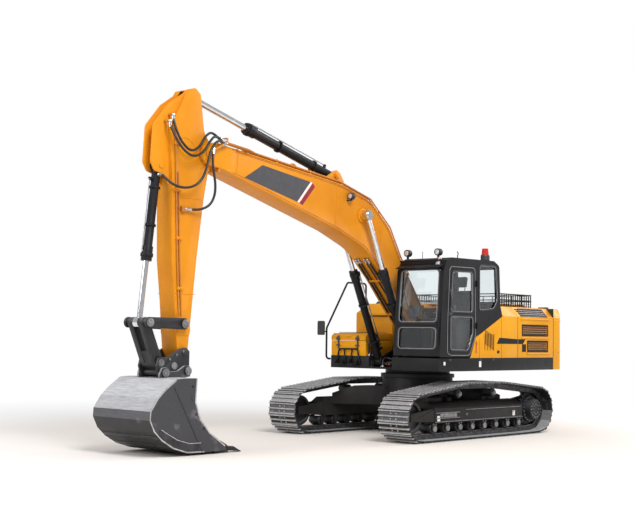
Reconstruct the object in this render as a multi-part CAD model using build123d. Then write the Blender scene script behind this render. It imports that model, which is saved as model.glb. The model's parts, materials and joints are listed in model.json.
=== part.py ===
from build123d import *
import os
from math import atan2, cos, sin, tan, pi, radians, hypot

os.makedirs("parts", exist_ok=True)

# A 21-tonne crawler excavator, millimetres. +X points along the boom, +Y to the cab's side, +Z up.
# Everything is laid out from the swing axis; save() then moves it so that the origin lies on the
# ground under the middle of the whole machine.
NOSE_X = 6530.0                 # furthest point of the bucket's back
TAIL_X = -2880.0                # counterweight
SHIFT_X = -(NOSE_X + TAIL_X) / 2

# Undercarriage
GAUGE = 2380.0                  # between the two tracks' middles
SHOE_WIDTH = 600.0
TRACK_Y = GAUGE / 2
IDLER = (1812.0, 388.0, 388.0)          # x, z, radius out to the shoes' ribs
SPROCKET = (-1640.0, 412.0, 400.0)
SHOES = 49                      # to each track
RIB = 26.0                      # grouser height
PLATE = 12.0                    # shoe plate
LINK = 78.0                     # chain link below the plate
RAIL_Y = 72.0                   # chain rail, from the track's middle
RAIL_WIDTH = 36.0
ROLLER_R = 79.0
CARRIER_R = 70.0
BELT = RIB + PLATE + LINK       # from a roller's tread out to the ribs' tips
ROLLER_Z = ROLLER_R + BELT + 1.0
CHORD = 18.0                    # straight links pass this far inside the idler's round between pins
SAG = 9.0                       # straight links stand this far off a carrier between their pins
CARRIERS_X = (-440.0, 560.0)
CARRIER_Z = 730.0
ROLLERS_X = [-1150.0 + 348.0 * n for n in range(8)]
FRAME_HALF = 150.0              # track frame, half its width
FRAME_LOW = 296.0
FRAME_TOP = 600.0

# Upper structure
DECK_Z = 1310.0
DECK_LOW = 1100.0
SIDE_Y = 1364.0                 # outer face of the panels
NOSE_DECK_X = 1235.0            # front of the deck under the cab
RIGHT_DECK_X = 840.0            # and under the toolbox
TANK_X = (-1067.0, -466.0, 110.0)       # back of the oil tank, joint, front of the fuel tank
TANK_TOP = 2250.0
WEIGHT_X = -2250.0              # front of the counterweight
ROOF_Z = 2200.0                 # top of the engine housing
WALL = 40.0
HOOD_HALF = 1180.0
EAR_Y = (228.0, 252.0)          # boom bracket plates

# Pins, as (x, z)
BOOM_FOOT = (74.0, 1791.0)
BOOM_CYL_FOOT = (660.0, 1220.0)
BOOM_CYL_EYE = (1800.0, 3620.0)
ARM_PIVOT = (5210.0, 4230.0)
ARM_CYL_FOOT = (2340.0, 4225.0)
ARM_CYL_EYE = (5450.0, 5040.0)
ARM_TIP = (5590.0, 1370.0)
ROCKER_PIN = (5640.0, 1780.0)
LINK_PIN = (6250.0, 1790.0)
COUPLER_PIN = (6010.0, 1240.0)
BUCKET_CYL_FOOT = (6000.0, 3970.0)
BUCKET_PIN = (5570.0, 1130.0)
BUCKET_REAR_PIN = (5975.0, 1105.0)
CAB_DOOR_HINGE = (195.0, 1386.0)        # x, y
PIN_R = 40.0
TOW_EYE = (690.0, 560.0)                # shackle hole ahead of the carbody's drum, upright
TOW_R = 32.0
TOW_HALF = 22.0

# Half widths
BOOM_HALF = 220.0
ARM_HALF = 160.0
BUCKET_HALF = 600.0
LINK_HALF = 155.0
BOOM_CYL_Y = 321.0              # middle of each boom cylinder
SKIN = 14.0                     # plate of the boom and the arm
LIP = 12.0                      # flanges past the boom's side plates


def box(x0, x1, y0, y1, z0, z1):
    return Pos((x0 + x1) / 2, (y0 + y1) / 2, (z0 + z1) / 2) * Box(x1 - x0, y1 - y0, z1 - z0)


def side_face(points, radii=0):
    """A face in X and Z. radii rounds the corners: one number, or one for each point."""
    wire = FilletPolyline(*points, radius=radii, close=True) if radii else Polyline(*points, close=True)
    return Plane.XZ * make_face(wire)


def across(face, y0, y1):
    return extrude(Pos(0, y1, 0) * face, amount=y1 - y0, dir=(0, -1, 0))


def side_plate(points, y0, y1, radii=0):
    return across(side_face(points, radii), y0, y1)


def level(points, z0, z1, radii=0):
    """An outline in X and Y, drawn up from z0 to z1."""
    wire = FilletPolyline(*points, radius=radii, close=True) if radii else Polyline(*points, close=True)
    return extrude(Pos(0, 0, z0) * make_face(wire), amount=z1 - z0, dir=(0, 0, 1))


def along(points, x0, x1):
    """An outline in Y and Z, drawn along X."""
    return extrude(Pos(x0, 0, 0) * (Plane.YZ * make_face(Polyline(*points, close=True))), amount=x1 - x0,
                   dir=(1, 0, 0))


def disc(pin, r, y0, y1):
    """A cylinder across the machine at a pin's x and z."""
    frame = Plane(origin=(pin[0], y0, pin[1]), z_dir=(0, 1, 0))
    return frame * Cylinder(r, y1 - y0, align=(Align.CENTER, Align.CENTER, Align.MIN))


def disc_along_y(x, y0, y1, z, r):
    """A hinge barrel across the machine."""
    return disc((x, z), r, y0, y1)


def disc_along_x(x0, x1, y, z, r):
    return Plane(origin=(x0, y, z), z_dir=(1, 0, 0)) * Cylinder(r, x1 - x0,
                                                                align=(Align.CENTER, Align.CENTER,
                                                                       Align.MIN))


def bar(start, end, r, y=0.0):
    """A round bar between two (x, z) places."""
    a = Vector(start[0], y, start[1])
    b = Vector(end[0], y, end[1])
    return Plane(origin=a, z_dir=b - a) * Cylinder(r, (b - a).length,
                                                   align=(Align.CENTER, Align.CENTER, Align.MIN))


def between(start, end, distance):
    """The place a distance from start on the way to end."""
    length = hypot(end[0] - start[0], end[1] - start[1])
    return (start[0] + (end[0] - start[0]) * distance / length,
            start[1] + (end[1] - start[1]) * distance / length)


def pipe(points, r, radius):
    """A bent tube through 3-D points."""
    path = FilletPolyline(*points, radius=radius) if len(points) > 2 else Line(*points)
    return sweep(Plane(origin=path @ 0, z_dir=path % 0) * Circle(r), path=path)


def both(shape):
    """A piece with its mirror image on the other side."""
    return [shape, mirror(shape, about=Plane.XZ)]


def save(name, *pieces):
    """Moves the pieces to the machine's own origin and writes them as one node."""
    solids = []
    for piece in pieces:
        for shape in piece if isinstance(piece, list) else [piece]:
            solids += [Pos(SHIFT_X, 0, 0) * solid for solid in shape.solids()]
    export_step(solids[0] if len(solids) == 1 else Compound(solids), "parts/" + name + ".step")


# ---------------------------------------------------------------- undercarriage
def belt_face(inset):
    """The track's loop over the idler, carriers, sprocket and the last bottom roller, less an inset."""
    rounds = [
        IDLER,
        (CARRIERS_X[1], CARRIER_Z, CARRIER_R + BELT + SAG),
        (CARRIERS_X[0], CARRIER_Z, CARRIER_R + BELT + SAG),
        SPROCKET,
        (ROLLERS_X[0], ROLLER_Z, ROLLER_Z),
    ]
    edges = [Edge.make_circle(r - inset, Plane((x, z, 0))) for x, z, r in rounds]
    return make_hull(edges)


def loop_points(inset, count):
    """Places at an even pitch round the loop, in X and Z."""
    wire = belt_face(inset).face().outer_wire()
    return [wire @ (n / count) for n in range(count)]


def track(y):
    """Shoes on two chain rails, as one closed loop."""
    joints = loop_points(RIB + PLATE, SHOES)
    # along the shoe, height over the chain: three ribs on each plate
    shoe = [(0.0, PLATE), (0.06, PLATE + RIB), (0.14, PLATE), (0.44, PLATE), (0.5, PLATE + RIB),
            (0.56, PLATE),
            (0.86, PLATE), (0.94, PLATE + RIB)]
    middle = Vector(0, 400)
    outer = []
    for n, a in enumerate(joints):
        b = joints[(n + 1) % SHOES]
        run = b - a
        out = Vector(run.Y, -run.X).normalized()
        if out.dot(a - middle) < 0:
            out = -out
        for share, height in shoe:
            p = a + run * share + out * height
            outer.append((p.X, p.Y))
    inner = [(p.X, p.Y) for p in joints]
    rail = [(p.X, p.Y) for p in loop_points(BELT, SHOES)]
    plate = make_face(Polyline(*outer, close=True)) - make_face(Polyline(*inner, close=True))
    chain = make_face(Polyline(*inner, close=True)) - make_face(Polyline(*rail, close=True))
    solid = across(Plane.XZ * plate, y - SHOE_WIDTH / 2, y + SHOE_WIDTH / 2)
    for side in (-RAIL_Y, RAIL_Y):
        solid += across(Plane.XZ * chain, y + side - RAIL_WIDTH / 2, y + side + RAIL_WIDTH / 2)
    return solid


def track_frame(y, inward):
    """Box beam with a sloping top, its roller saddles, carrier posts, yoke arms and drive plate."""
    out = y - inward * FRAME_HALF
    inn = y + inward * FRAME_HALF
    section = [(out, FRAME_LOW), (inn, FRAME_LOW), (inn, FRAME_TOP), (y - inward * 20, FRAME_TOP),
               (out, FRAME_TOP - 95)]
    frame = along(section, -1250, 1290)
    lip = [(out - inward * 25, FRAME_LOW - 12), (inn, FRAME_LOW - 12), (inn, FRAME_LOW),
           (out - inward * 25, FRAME_LOW)]
    frame += along(lip, -1250, 1290)
    for side in (-1, 1):
        arm_y = sorted((y + side * 108, y + side * 138))
        frame += side_plate([(1240, 300), (1905, 330), (1905, 450), (1240, 520)], *arm_y)
    for x in ROLLERS_X:
        for side in (-1, 1):
            saddle = sorted((y + side * 108, y + side * 134))
            frame += side_plate([(x - 62, FRAME_LOW - 12), (x - 38, 158), (x + 38, 158),
                                 (x + 62, FRAME_LOW - 12)], *saddle)
    for x in CARRIERS_X:
        post = sorted((y + inward * 108, y + inward * 138))
        frame += side_plate([(x - 70, FRAME_TOP - 30), (x - 35, CARRIER_Z + 35), (x + 35, CARRIER_Z + 35),
                             (x + 70, FRAME_TOP - 30)], *post)
    drive = sorted((y + inward * 62, y + inward * 112))
    frame += side_plate([(-1200, 300), (-1200, 590), (-1560, 640), (-1800, 560), (-1860, 412), (-1790, 270),
                         (-1560, 210)], *drive)
    return frame


def final_drive(y, inward):
    """Toothed ring with the drive's round cover outside and its motor inside."""
    teeth = 21
    pitch_r = SPROCKET[2] - BELT + 34
    points = []
    for n in range(teeth):
        a = 2 * pi * n / teeth
        for share, r in ((-0.34, pitch_r - 58), (-0.14, pitch_r), (0.14, pitch_r), (0.34, pitch_r - 58)):
            t = a + share * 2 * pi / teeth
            points.append((SPROCKET[0] + r * cos(t), SPROCKET[1] + r * sin(t)))
    solid = side_plate(points, y - 24, y + 24)
    centre = (SPROCKET[0], SPROCKET[1])
    solid += disc(centre, 232, *sorted((y - inward * 24, y - inward * 66)))
    solid += disc(centre, 178, *sorted((y - inward * 66, y - inward * 178)))
    solid += disc(centre, 196, *sorted((y + inward * 24, y + inward * 61)))
    return solid


def idler(y):
    centre = (IDLER[0], IDLER[1])
    r = IDLER[2] - BELT - CHORD
    wheel = disc(centre, r, y - 90, y + 90) - disc(centre, r - 50, y + 40, y + 95) - disc(centre, r - 50,
                                                                                          y - 95, y - 40)
    wheel += disc(centre, 32, y - 108, y + 108)
    return wheel


def carbody():
    """Drum under the slewing ring with four box legs out to the track frames."""
    drum = Pos(0, 0, 480) * Cylinder(610, 480, align=(Align.CENTER, Align.CENTER, Align.MIN))
    legs = level([(-1010, -1040), (-640, -1040), (-250, -420), (250, -420), (700, -1040), (1070, -1040),
                  (560, -330),
                  (560, 330), (1070, 1040), (700, 1040), (250, 420), (-250, 420), (-640, 1040),
                  (-1010, 1040),
                  (-560, 330), (-560, -330)], 480, 800)
    legs -= along([(-1100, 640), (-1100, 900), (-500, 900)], -1200, 1200)
    legs -= along([(1100, 640), (1100, 900), (500, 900)], -1200, 1200)
    low = TOW_EYE[1] - TOW_HALF
    eye = level([(540, -150), (TOW_EYE[0], -80), (TOW_EYE[0] + 75, -50), (TOW_EYE[0] + 75, 50),
                 (TOW_EYE[0], 80),
                 (540, 150)], low, low + 2 * TOW_HALF, radii=[0, 40, 40, 40, 40, 0])
    return drum + legs + eye - Pos(TOW_EYE[0], 0, TOW_EYE[1]) * Cylinder(TOW_R, 2 * TOW_HALF + 2)


def undercarriage():
    for name, y, inward in (("left", TRACK_Y, -1), ("right", -TRACK_Y, 1)):
        save("track_" + name, track(y))
        save("track_frame_" + name, track_frame(y, inward))
    save("carbody", carbody())
    save("final_drives", [final_drive(TRACK_Y, -1), final_drive(-TRACK_Y, 1)])
    save("idlers", [idler(TRACK_Y), idler(-TRACK_Y)])
    rollers = [disc((x, ROLLER_Z), ROLLER_R, y - 107, y + 107) for x in ROLLERS_X for y in (TRACK_Y,
                                                                                            -TRACK_Y)]
    save("track_rollers", rollers)
    carriers = []
    for x in CARRIERS_X:
        carriers += both(disc((x, CARRIER_Z), CARRIER_R, TRACK_Y - 107, TRACK_Y + 92))
    save("carrier_rollers", carriers)
    ring = Pos(0, 0, 960) * Cylinder(640, 60, align=(Align.CENTER, Align.CENTER, Align.MIN))
    save("slewing_ring", ring)



# ---------------------------------------------------------------- upper structure
def house_frame():
    """Deck on its band of skirt, with the boom bracket and the boom cylinders' foot ears."""
    outline = [(TAIL_X + 640, -SIDE_Y + 30), (RIGHT_DECK_X - 60, -SIDE_Y + 30), (RIGHT_DECK_X, -SIDE_Y + 90),
               (RIGHT_DECK_X, 412), (NOSE_DECK_X, 412), (NOSE_DECK_X, SIDE_Y), (TAIL_X + 640, SIDE_Y)]
    deck = level(outline, DECK_LOW, DECK_Z)
    deck -= box(-2200, RIGHT_DECK_X - 55, -SIDE_Y + 80, SIDE_Y - 50, DECK_LOW - 1, DECK_LOW + 130)
    deck -= box(RIGHT_DECK_X - 56, NOSE_DECK_X - 55, 462, SIDE_Y - 50, DECK_LOW - 1, DECK_LOW + 130)
    deck += Pos(0, 0, 1020) * Cylinder(560, 215, align=(Align.CENTER, Align.CENTER, Align.MIN))
    deck -= box(430, RIGHT_DECK_X + 1, -412, 412, DECK_LOW + 30, DECK_Z + 1)
    deck += box(430, RIGHT_DECK_X, -412, 412, DECK_LOW, DECK_LOW + 30)
    ear = [(-620, DECK_Z - 40), (-480, DECK_Z + 90), (-90, 1830), (20, 1900), (150, 1890), (230, 1800),
           (420, 1420),
           (720, 1300), (760, 1180), (620, DECK_LOW + 20), (-400, DECK_LOW + 20)]
    for side in (1, -1):
        deck += side_plate(ear, *sorted((side * EAR_Y[0], side * EAR_Y[1])), radii=40)
        outer = side_plate([(560, DECK_LOW + 20), (585, 1240), (620, 1300), (705, 1300), (740, 1240),
                            (760, DECK_LOW + 20)],
                           *sorted((side * 391, side * 409)))
        deck += outer
        deck += disc(BOOM_CYL_FOOT, PIN_R, *sorted((side * EAR_Y[0], side * 409)))
    deck += disc(BOOM_FOOT, 50, -EAR_Y[1] - 24, EAR_Y[1] + 24)
    return deck


def counterweight():
    """Cast block: curved plan, rounded and tapered towards the top and the tail."""
    plan = [(WEIGHT_X, -SIDE_Y), (-2560, -SIDE_Y), (TAIL_X, -760), (TAIL_X, 760), (-2560, SIDE_Y),
            (WEIGHT_X, SIDE_Y)]
    radii = [0, 260, 420, 420, 260, 0]
    block = level(plan, DECK_LOW, ROOF_Z, radii)
    taper = side_plate([(TAIL_X - 10, 1850), (TAIL_X + 10, 1850), (TAIL_X + 130, ROOF_Z - 60),
                        (TAIL_X + 260, ROOF_Z + 5),
                        (TAIL_X - 10, ROOF_Z + 5)], -1500, 1500)
    under = side_plate([(TAIL_X - 10, DECK_LOW - 5), (TAIL_X + 170, DECK_LOW - 5), (TAIL_X + 10, 1280),
                        (TAIL_X - 10, 1280)],
                       -1500, 1500)
    block -= taper
    block -= under
    for side in (1, -1):
        block -= along([(side * 1500, 2030), (side * SIDE_Y, 2030), (side * 1225, ROOF_Z),
                        (side * 1225, ROOF_Z + 10),
                        (side * 1500, ROOF_Z + 10)], -3000, WEIGHT_X + 10)
    block -= box(-2420, WEIGHT_X + 1, -560, 560, 1280, 1900)
    return block


def side_panel(x0, x1, low=DECK_Z, thick=WALL):
    """A left-hand panel of the housing with the chamfer along its top."""
    section = [(SIDE_Y, low), (SIDE_Y, 2030), (1220, ROOF_Z), (HOOD_HALF + 6, ROOF_Z),
               (HOOD_HALF + 6, ROOF_Z - 26),
               (1210, ROOF_Z - 26), (SIDE_Y - thick, 2010), (SIDE_Y - thick, low)]
    return along(section, x0, x1)


def louvre_door():
    """Left rear door with its grilles cut as slanted slots, the slats left between them."""
    panel = side_panel(WEIGHT_X + 6, -1073, DECK_Z + 6)
    for n in range(4):
        z = 2050 + 32 * n
        panel -= along([(SIDE_Y + 9, z), (SIDE_Y + 9, z + 19), (1150, z + 19), (1150, z)], -2040,
                       -1180 + 22 * n)
    # x0, x1, z0, slots
    for x0, x1, z0, slots in ((-2040, -1220, 1710, 5), (-2040, -1390, 1430, 5)):
        for n in range(slots):
            z = z0 + 37 * n
            panel -= along([(SIDE_Y + 2, z), (SIDE_Y + 2, z + 26), (SIDE_Y - WALL - 2, z + 44),
                            (SIDE_Y - WALL - 2, z + 18)], x0, x1)
    return panel


def right_door():
    return mirror(side_panel(WEIGHT_X + 6, -1073, DECK_Z + 6), about=Plane.XZ)


def hood_guard():
    """Guard round the raised part of the hood: posts and slats between two rails."""
    x0, x1, half, low, top = -2170, -1120, 950, ROOF_Z + 4, ROOF_Z + 250
    guard = None
    for z in (low, low + 118, top - 18):
        ring = box(x0, x1, -half, half, z, z + 18) - box(x0 + 22, x1 - 22, -half + 22, half - 22, z - 1,
                                                         z + 19)
        guard = ring if guard is None else guard + ring
    for n in range(15):
        x = x0 + 8 + (x1 - x0 - 30) * n / 14
        for side in (1, -1):
            guard += box(x, x + 14, *sorted((side * half, side * (half - 14))), low + 1, top - 1)
    for n in range(1, 9):
        y = -half + 2 * half * n / 9
        guard += box(x0, x0 + 14, y - 7, y + 7, low + 1, top - 1)
    return guard


def hood():
    """Engine lid with a raised middle."""
    lid = level([(WEIGHT_X + 6, -HOOD_HALF), (-1079, -HOOD_HALF), (-1079, -470), (-610, -470),
                 (-610, HOOD_HALF),
                 (WEIGHT_X + 6, HOOD_HALF)], ROOF_Z - 24, ROOF_Z + 4)
    raised = box(-2050, -1150, -860, 860, ROOF_Z + 4, ROOF_Z + 60)
    lid += fillet(raised.edges().group_by(Axis.Z)[-1], 20)
    return lid


def front_left_panel():
    """Low panel behind the cab, with its slanted front edge and vents."""
    panel = side_plate([(-606, DECK_Z), (-606, 2030), (36, 1729), (199, 1660), (349, 1330), (349, DECK_Z)],
                       SIDE_Y - WALL, SIDE_Y)
    panel += side_panel(-1067, -606)
    for n in range(4):
        x = -330 + 85 * n
        panel -= side_plate([(x, 1440), (x + 34, 1440), (x + 14, 1720), (x - 20, 1720)], SIDE_Y - WALL - 1,
                            SIDE_Y + 1)
    return panel


def right_tanks():
    """Fuel tank ahead of the hydraulic tank: a sloping front, a chamfered outer edge and filler necks."""
    outer = -SIDE_Y + 40
    chamfer = [(outer - 1, TANK_TOP - 170), (outer - 1, TANK_TOP + 1), (outer + 120, TANK_TOP + 1)]
    tanks = []
    for back, front, slope in ((TANK_X[0], TANK_X[1] - 6, 0), (TANK_X[1], TANK_X[2], 220)):
        profile = [(back, DECK_Z), (front, DECK_Z), (front, TANK_TOP - 0.8 * slope),
                   (front - slope, TANK_TOP),
                   (back, TANK_TOP)] if slope else [(back, DECK_Z), (front, DECK_Z), (front, TANK_TOP),
                                                    (back, TANK_TOP)]
        tank = side_plate(profile, outer, -480)
        tank -= along(chamfer, back - 1, front + 1)
        neck = Pos((back + front) / 2 - 60, -760, TANK_TOP)
        tank += neck * Cylinder(58, 45, align=(Align.CENTER, Align.CENTER, Align.MIN))
        tanks.append(tank)
    return tanks


TOOLBOX_X = (TANK_X[2] + 4, RIGHT_DECK_X - 8)
TOOLBOX_Y = (-1280.0, -490.0)
TOOLBOX_Z = (1575.0, 1580.0, 1703.0)    # rim, lid's lower edge, lid's top


def toolbox():
    """Open box on the deck, its lid apart."""
    x0, x1 = TOOLBOX_X
    y0, y1 = TOOLBOX_Y
    return box(x0, x1, y0, y1, DECK_Z, TOOLBOX_Z[0]) - box(x0 + 34, x1 - 34, y0 + 34, y1 - 34, DECK_Z + 30,
                                                           TOOLBOX_Z[0] + 1)


def toolbox_lid():
    """Pressed lid with a round front edge and two raised fields."""
    x0, x1 = TOOLBOX_X
    low, top = TOOLBOX_Z[1], TOOLBOX_Z[2]
    lid = side_plate([(x0, low), (x1, low), (x1, top - 50), (x1 - 70, top), (x0, top)], *TOOLBOX_Y,
                     radii=[0, 0, 30, 30, 12])
    lid -= side_plate([(x0 + 34, low - 1), (x1 - 34, low - 1), (x1 - 34, top - 62), (x1 - 88, top - 26),
                       (x0 + 34, top - 26)],
                      TOOLBOX_Y[0] + 34, TOOLBOX_Y[1] - 34)
    for y in (TOOLBOX_Y[0] + 70, TOOLBOX_Y[1] - 270):
        lid += box(x0 + 90, x1 - 130, y, y + 200, top, top + 10)
    for y in (TOOLBOX_Y[0] + 120, TOOLBOX_Y[1] - 220):
        lid += disc_along_y(x0 + 14, y, y + 100, top + 4, 12)
    return lid


def engine():
    """The engine as one plain block, across the rear."""
    return box(-1900, -1150, -430, 560, 1330, 2020)


def bulkheads():
    """Walls of the engine bay: the front one behind the cab and the pump room's."""
    front = box(-640, -608, -470, 1180, DECK_Z, ROOF_Z - 30)
    return front


def control_valve():
    block = box(-590, -385, -190, 190, DECK_Z, 1560)
    block += box(-570, -410, -150, 150, 1560, 1640)
    return block


def swing_motor():
    drum = Pos(-250, 0, DECK_Z) * Cylinder(105, 150, align=(Align.CENTER, Align.CENTER, Align.MIN))
    return drum + Pos(-250, 0, DECK_Z + 150) * Cylinder(78, 90,
                                                        align=(Align.CENTER, Align.CENTER, Align.MIN))


# ---------------------------------------------------------------- cab
CAB_IN = 415.0
CAB_LOW = 1330.0
CAB_WALL = 50.0
CAB_OUTLINE = [(1210, 1330), (1175, 1900), (1110, 2740), (1020, 2900), (900, 2950), (-330, 2958),
               (-490, 2880), (-530, 2190),
               (-580, 2045), (-580, 1330)]
CAB_RADII = [20, 0, 120, 0, 60, 60, 80, 0, 0, 0]
CAB_FOLD = [(-606, 2034), (40, 1735), (205, 1665),
            (355, 1330)]    # where the low panel ends on the cab's side
DOOR_OUTLINE = [(1000, 1400), (990, 1900), (945, 2790), (240, 2800), (222, 1690), (385, 1370), (900, 1370)]


def cab_shell():
    """Hollow pressing with pillars, every window and the doorway cut."""
    face = side_face(CAB_OUTLINE, CAB_RADII)
    shell = across(face, CAB_IN, SIDE_Y)
    inner = offset(face, -CAB_WALL)
    shell -= across(inner, CAB_IN + CAB_WALL, SIDE_Y - CAB_WALL)
    shell -= side_plate(CAB_FOLD + [(355, 1300), (-606, 1300)], SIDE_Y - WALL - 4, SIDE_Y + 1)
    shell -= side_plate(DOOR_OUTLINE, SIDE_Y - CAB_WALL - 1, SIDE_Y + 1)
    quarter = [(110, 2100), (110, 2870), (-400, 2870), (-440, 2300), (-330, 2140)]
    shell -= side_plate(quarter, SIDE_Y - CAB_WALL - 1, SIDE_Y + 1, radii=50)
    right = [(1040, 1900), (985, 2760), (-400, 2840), (-430, 2200), (-200, 2040), (200, 1900)]
    shell -= side_plate(right, CAB_IN - 1, CAB_IN + CAB_WALL + 1, radii=60)
    shell -= box(1000, 1300, 490, 1290, 1880, 2760)
    shell -= box(1100, 1300, 490, 1290, 1450, 1815)
    shell -= box(-600, -400, 500, 1280, 2260, 2820)
    return shell


def cab_door():
    """Door frame with its big window and the bar across it."""
    door = side_plate([(994, 1406), (984, 1900), (939, 2784), (246, 2794), (228, 1692), (388, 1376),
                       (894, 1376)],
                      SIDE_Y - 44, SIDE_Y)
    door -= side_plate([(930, 2060), (880, 2730), (300, 2740), (290, 2060)], SIDE_Y - 45, SIDE_Y + 1,
                       radii=60)
    door -= side_plate([(935, 1440), (930, 2000), (285, 2000), (280, 1720), (420, 1430)], SIDE_Y - 45,
                       SIDE_Y + 1, radii=45)
    for z in (1800, 2500):
        door += box(CAB_DOOR_HINGE[0], 290, SIDE_Y, SIDE_Y + 10, z, z + 100)
        door += Pos(*CAB_DOOR_HINGE, z + 50) * Cylinder(14, 100)
    return door


def pane(points, y, corner, thick=6.0):
    return side_plate(points, y - thick / 2, y + thick / 2, radii=corner)


def seat():
    cushion = box(60, 560, 640, 1130, 1760, 1880)
    back = side_plate([(60, 1885), (180, 1885), (60, 2480), (-60, 2480)], 650, 1120, radii=30)
    rest = side_plate([(35, 2490), (-60, 2490), (-100, 2690), (-5, 2700)], 740, 1030, radii=25)
    return cushion, back, rest


def upper_structure():
    save("house_frame", house_frame())
    save("counterweight", counterweight())
    save("left_rear_door", louvre_door())
    save("right_rear_door", right_door())
    save("hood", hood())
    save("hood_guard", hood_guard())
    save("left_front_panel", front_left_panel())
    save("right_tanks", right_tanks())
    save("toolbox", toolbox())
    save("toolbox_lid", toolbox_lid())
    save("engine_block", engine())
    save("bulkhead", bulkheads())
    save("control_valve", control_valve())
    save("swing_motor", swing_motor())
    save("cab_shell", cab_shell())
    save("cab_door", cab_door())
    cushion, back, rest = seat()
    save("operator_seat", cushion, back, rest)
    save("seat_base", box(100, 520, 680, 1090, 1385, 1755))


def cab_glass():
    """Fixed panes, each standing in the middle of its wall."""
    front = side_plate([(1155, 1890), (1149, 1890), (1066, 2750), (1072, 2750)], 496, 1284)
    lower = side_plate([(1184, 1458), (1178, 1458), (1150, 1808), (1156, 1808)], 496, 1284)
    quarter = pane([(104, 2106), (104, 2864), (-394, 2864), (-433, 2303), (-327, 2147)],
                   SIDE_Y - CAB_WALL / 2, 46)
    right = pane([(1034, 1906), (979, 2754), (-394, 2833), (-423, 2206), (-197, 2047), (203, 1907)],
                 CAB_IN + CAB_WALL / 2, 56)
    rear = box(-490, -484, 506, 1274, 2266, 2814)
    return front, lower, quarter, right, rear


def door_glass():
    upper = pane([(924, 2066), (875, 2724), (306, 2733), (296, 2066)], SIDE_Y - 22, 56)
    lower = pane([(929, 1447), (924, 1994), (292, 1994), (287, 1723), (424, 1437)], SIDE_Y - 22, 42)
    return upper, lower


def cab_floor_kit():
    """Consoles beside the seat with their levers, and the pedals ahead of it."""
    kit = []
    for y in (560, 1210):
        kit.append(box(20, 620, y - 55, y + 55, 1385, 1960))
        kit.append(rod3((560, y, 1960), (600, y, 2130), 16))
    for y in (800, 960):
        kit.append(rod3((900, y, 1385), (860, y, 1800), 12))
        kit.append(box(880, 1010, y - 45, y + 45, 1400, 1416))
    return kit


def rod3(start, end, r):
    a = Vector(*start)
    b = Vector(*end)
    return Plane(origin=a, z_dir=b - a) * Cylinder(r, (b - a).length,
                                                   align=(Align.CENTER, Align.CENTER, Align.MIN))


def roof_lights():
    """Two round work lights on the front of the roof."""
    lights = []
    for y in (480, 1110):
        stalk = box(905, 935, y - 15, y + 15, 2949, 3000)
        lamp = Plane(origin=(870, y, 3045), z_dir=(1, 0, 0)) * Cylinder(58, 90,
                                                                        align=(Align.CENTER, Align.CENTER,
                                                                               Align.MIN))
        lights.append(stalk + lamp)
    return lights


def beacon():
    base = Pos(-330, 1180, 2958) * Cylinder(75, 50, align=(Align.CENTER, Align.CENTER, Align.MIN))
    lens = Pos(-330, 1180, 3008) * Cone(68, 52, 170, align=(Align.CENTER, Align.CENTER, Align.MIN))
    return base + lens


MIRROR = (1000.0, -1378.0, 1790.0)
POLE = (895.0, -1342.0)         # x, y of the handrail's upright


def handrails():
    """The rail from the deck's corner over the toolbox to the tank's side, the mirror's arm and two steps."""
    x, y = POLE
    rail = pipe([(812, y + 20, 1250), (x, y, 1250), (x, y, 1790), (340, y, 2620), (-180, y, 2620),
                 (-180, y, 1990)], 17, 60)
    rail += rod3((x, y, 1730), (MIRROR[0] - 20, MIRROR[1], 1730), 11)
    steps = []
    for y0, y1 in ((-1110, -930), (-800, -620)):
        tread = box(RIGHT_DECK_X, RIGHT_DECK_X + 105, y0, y1, 1165, 1180)
        for edge in (y0, y1 - 12):
            tread += side_plate([(RIGHT_DECK_X, 1165), (RIGHT_DECK_X + 105, 1165),
                                 (RIGHT_DECK_X + 105, 1200),
                                 (RIGHT_DECK_X, 1300)], edge, edge + 12)
        steps.append(tread)
    return [rail] + steps


def mirror_right():
    plate = Pos(*MIRROR) * Box(30, 160, 250)
    return fillet(plate.edges().filter_by(Axis.X), 28)


# ---------------------------------------------------------------- boom and arm
BOOM_OUTLINE = [(-60, 1880), (800, 2990), (1090, 3460), (1600, 3880), (2350, 4085), (5010, 4385),
                (5060, 4060),
                (3680, 3690), (2400, 3345), (1700, 3085), (1160, 2610), (640, 2060), (190, 1665)]
BOOM_RADII = [0, 900, 700, 900, 1500, 30, 30, 0, 1500, 1100, 1500, 900, 0]


def hollow(points, radii, half, skin, lip=0.0):
    """A welded box of side plates under flanges that stand a lip proud of them."""
    face = side_face(points, radii)
    inner = offset(face, -skin)
    solid = across(face, -half, half)
    if lip:
        solid -= across(inner, half - lip, half + 1)
        solid -= across(inner, -half - 1, lip - half)
    return solid - across(inner, -half + lip + skin, half - lip - skin)


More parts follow.
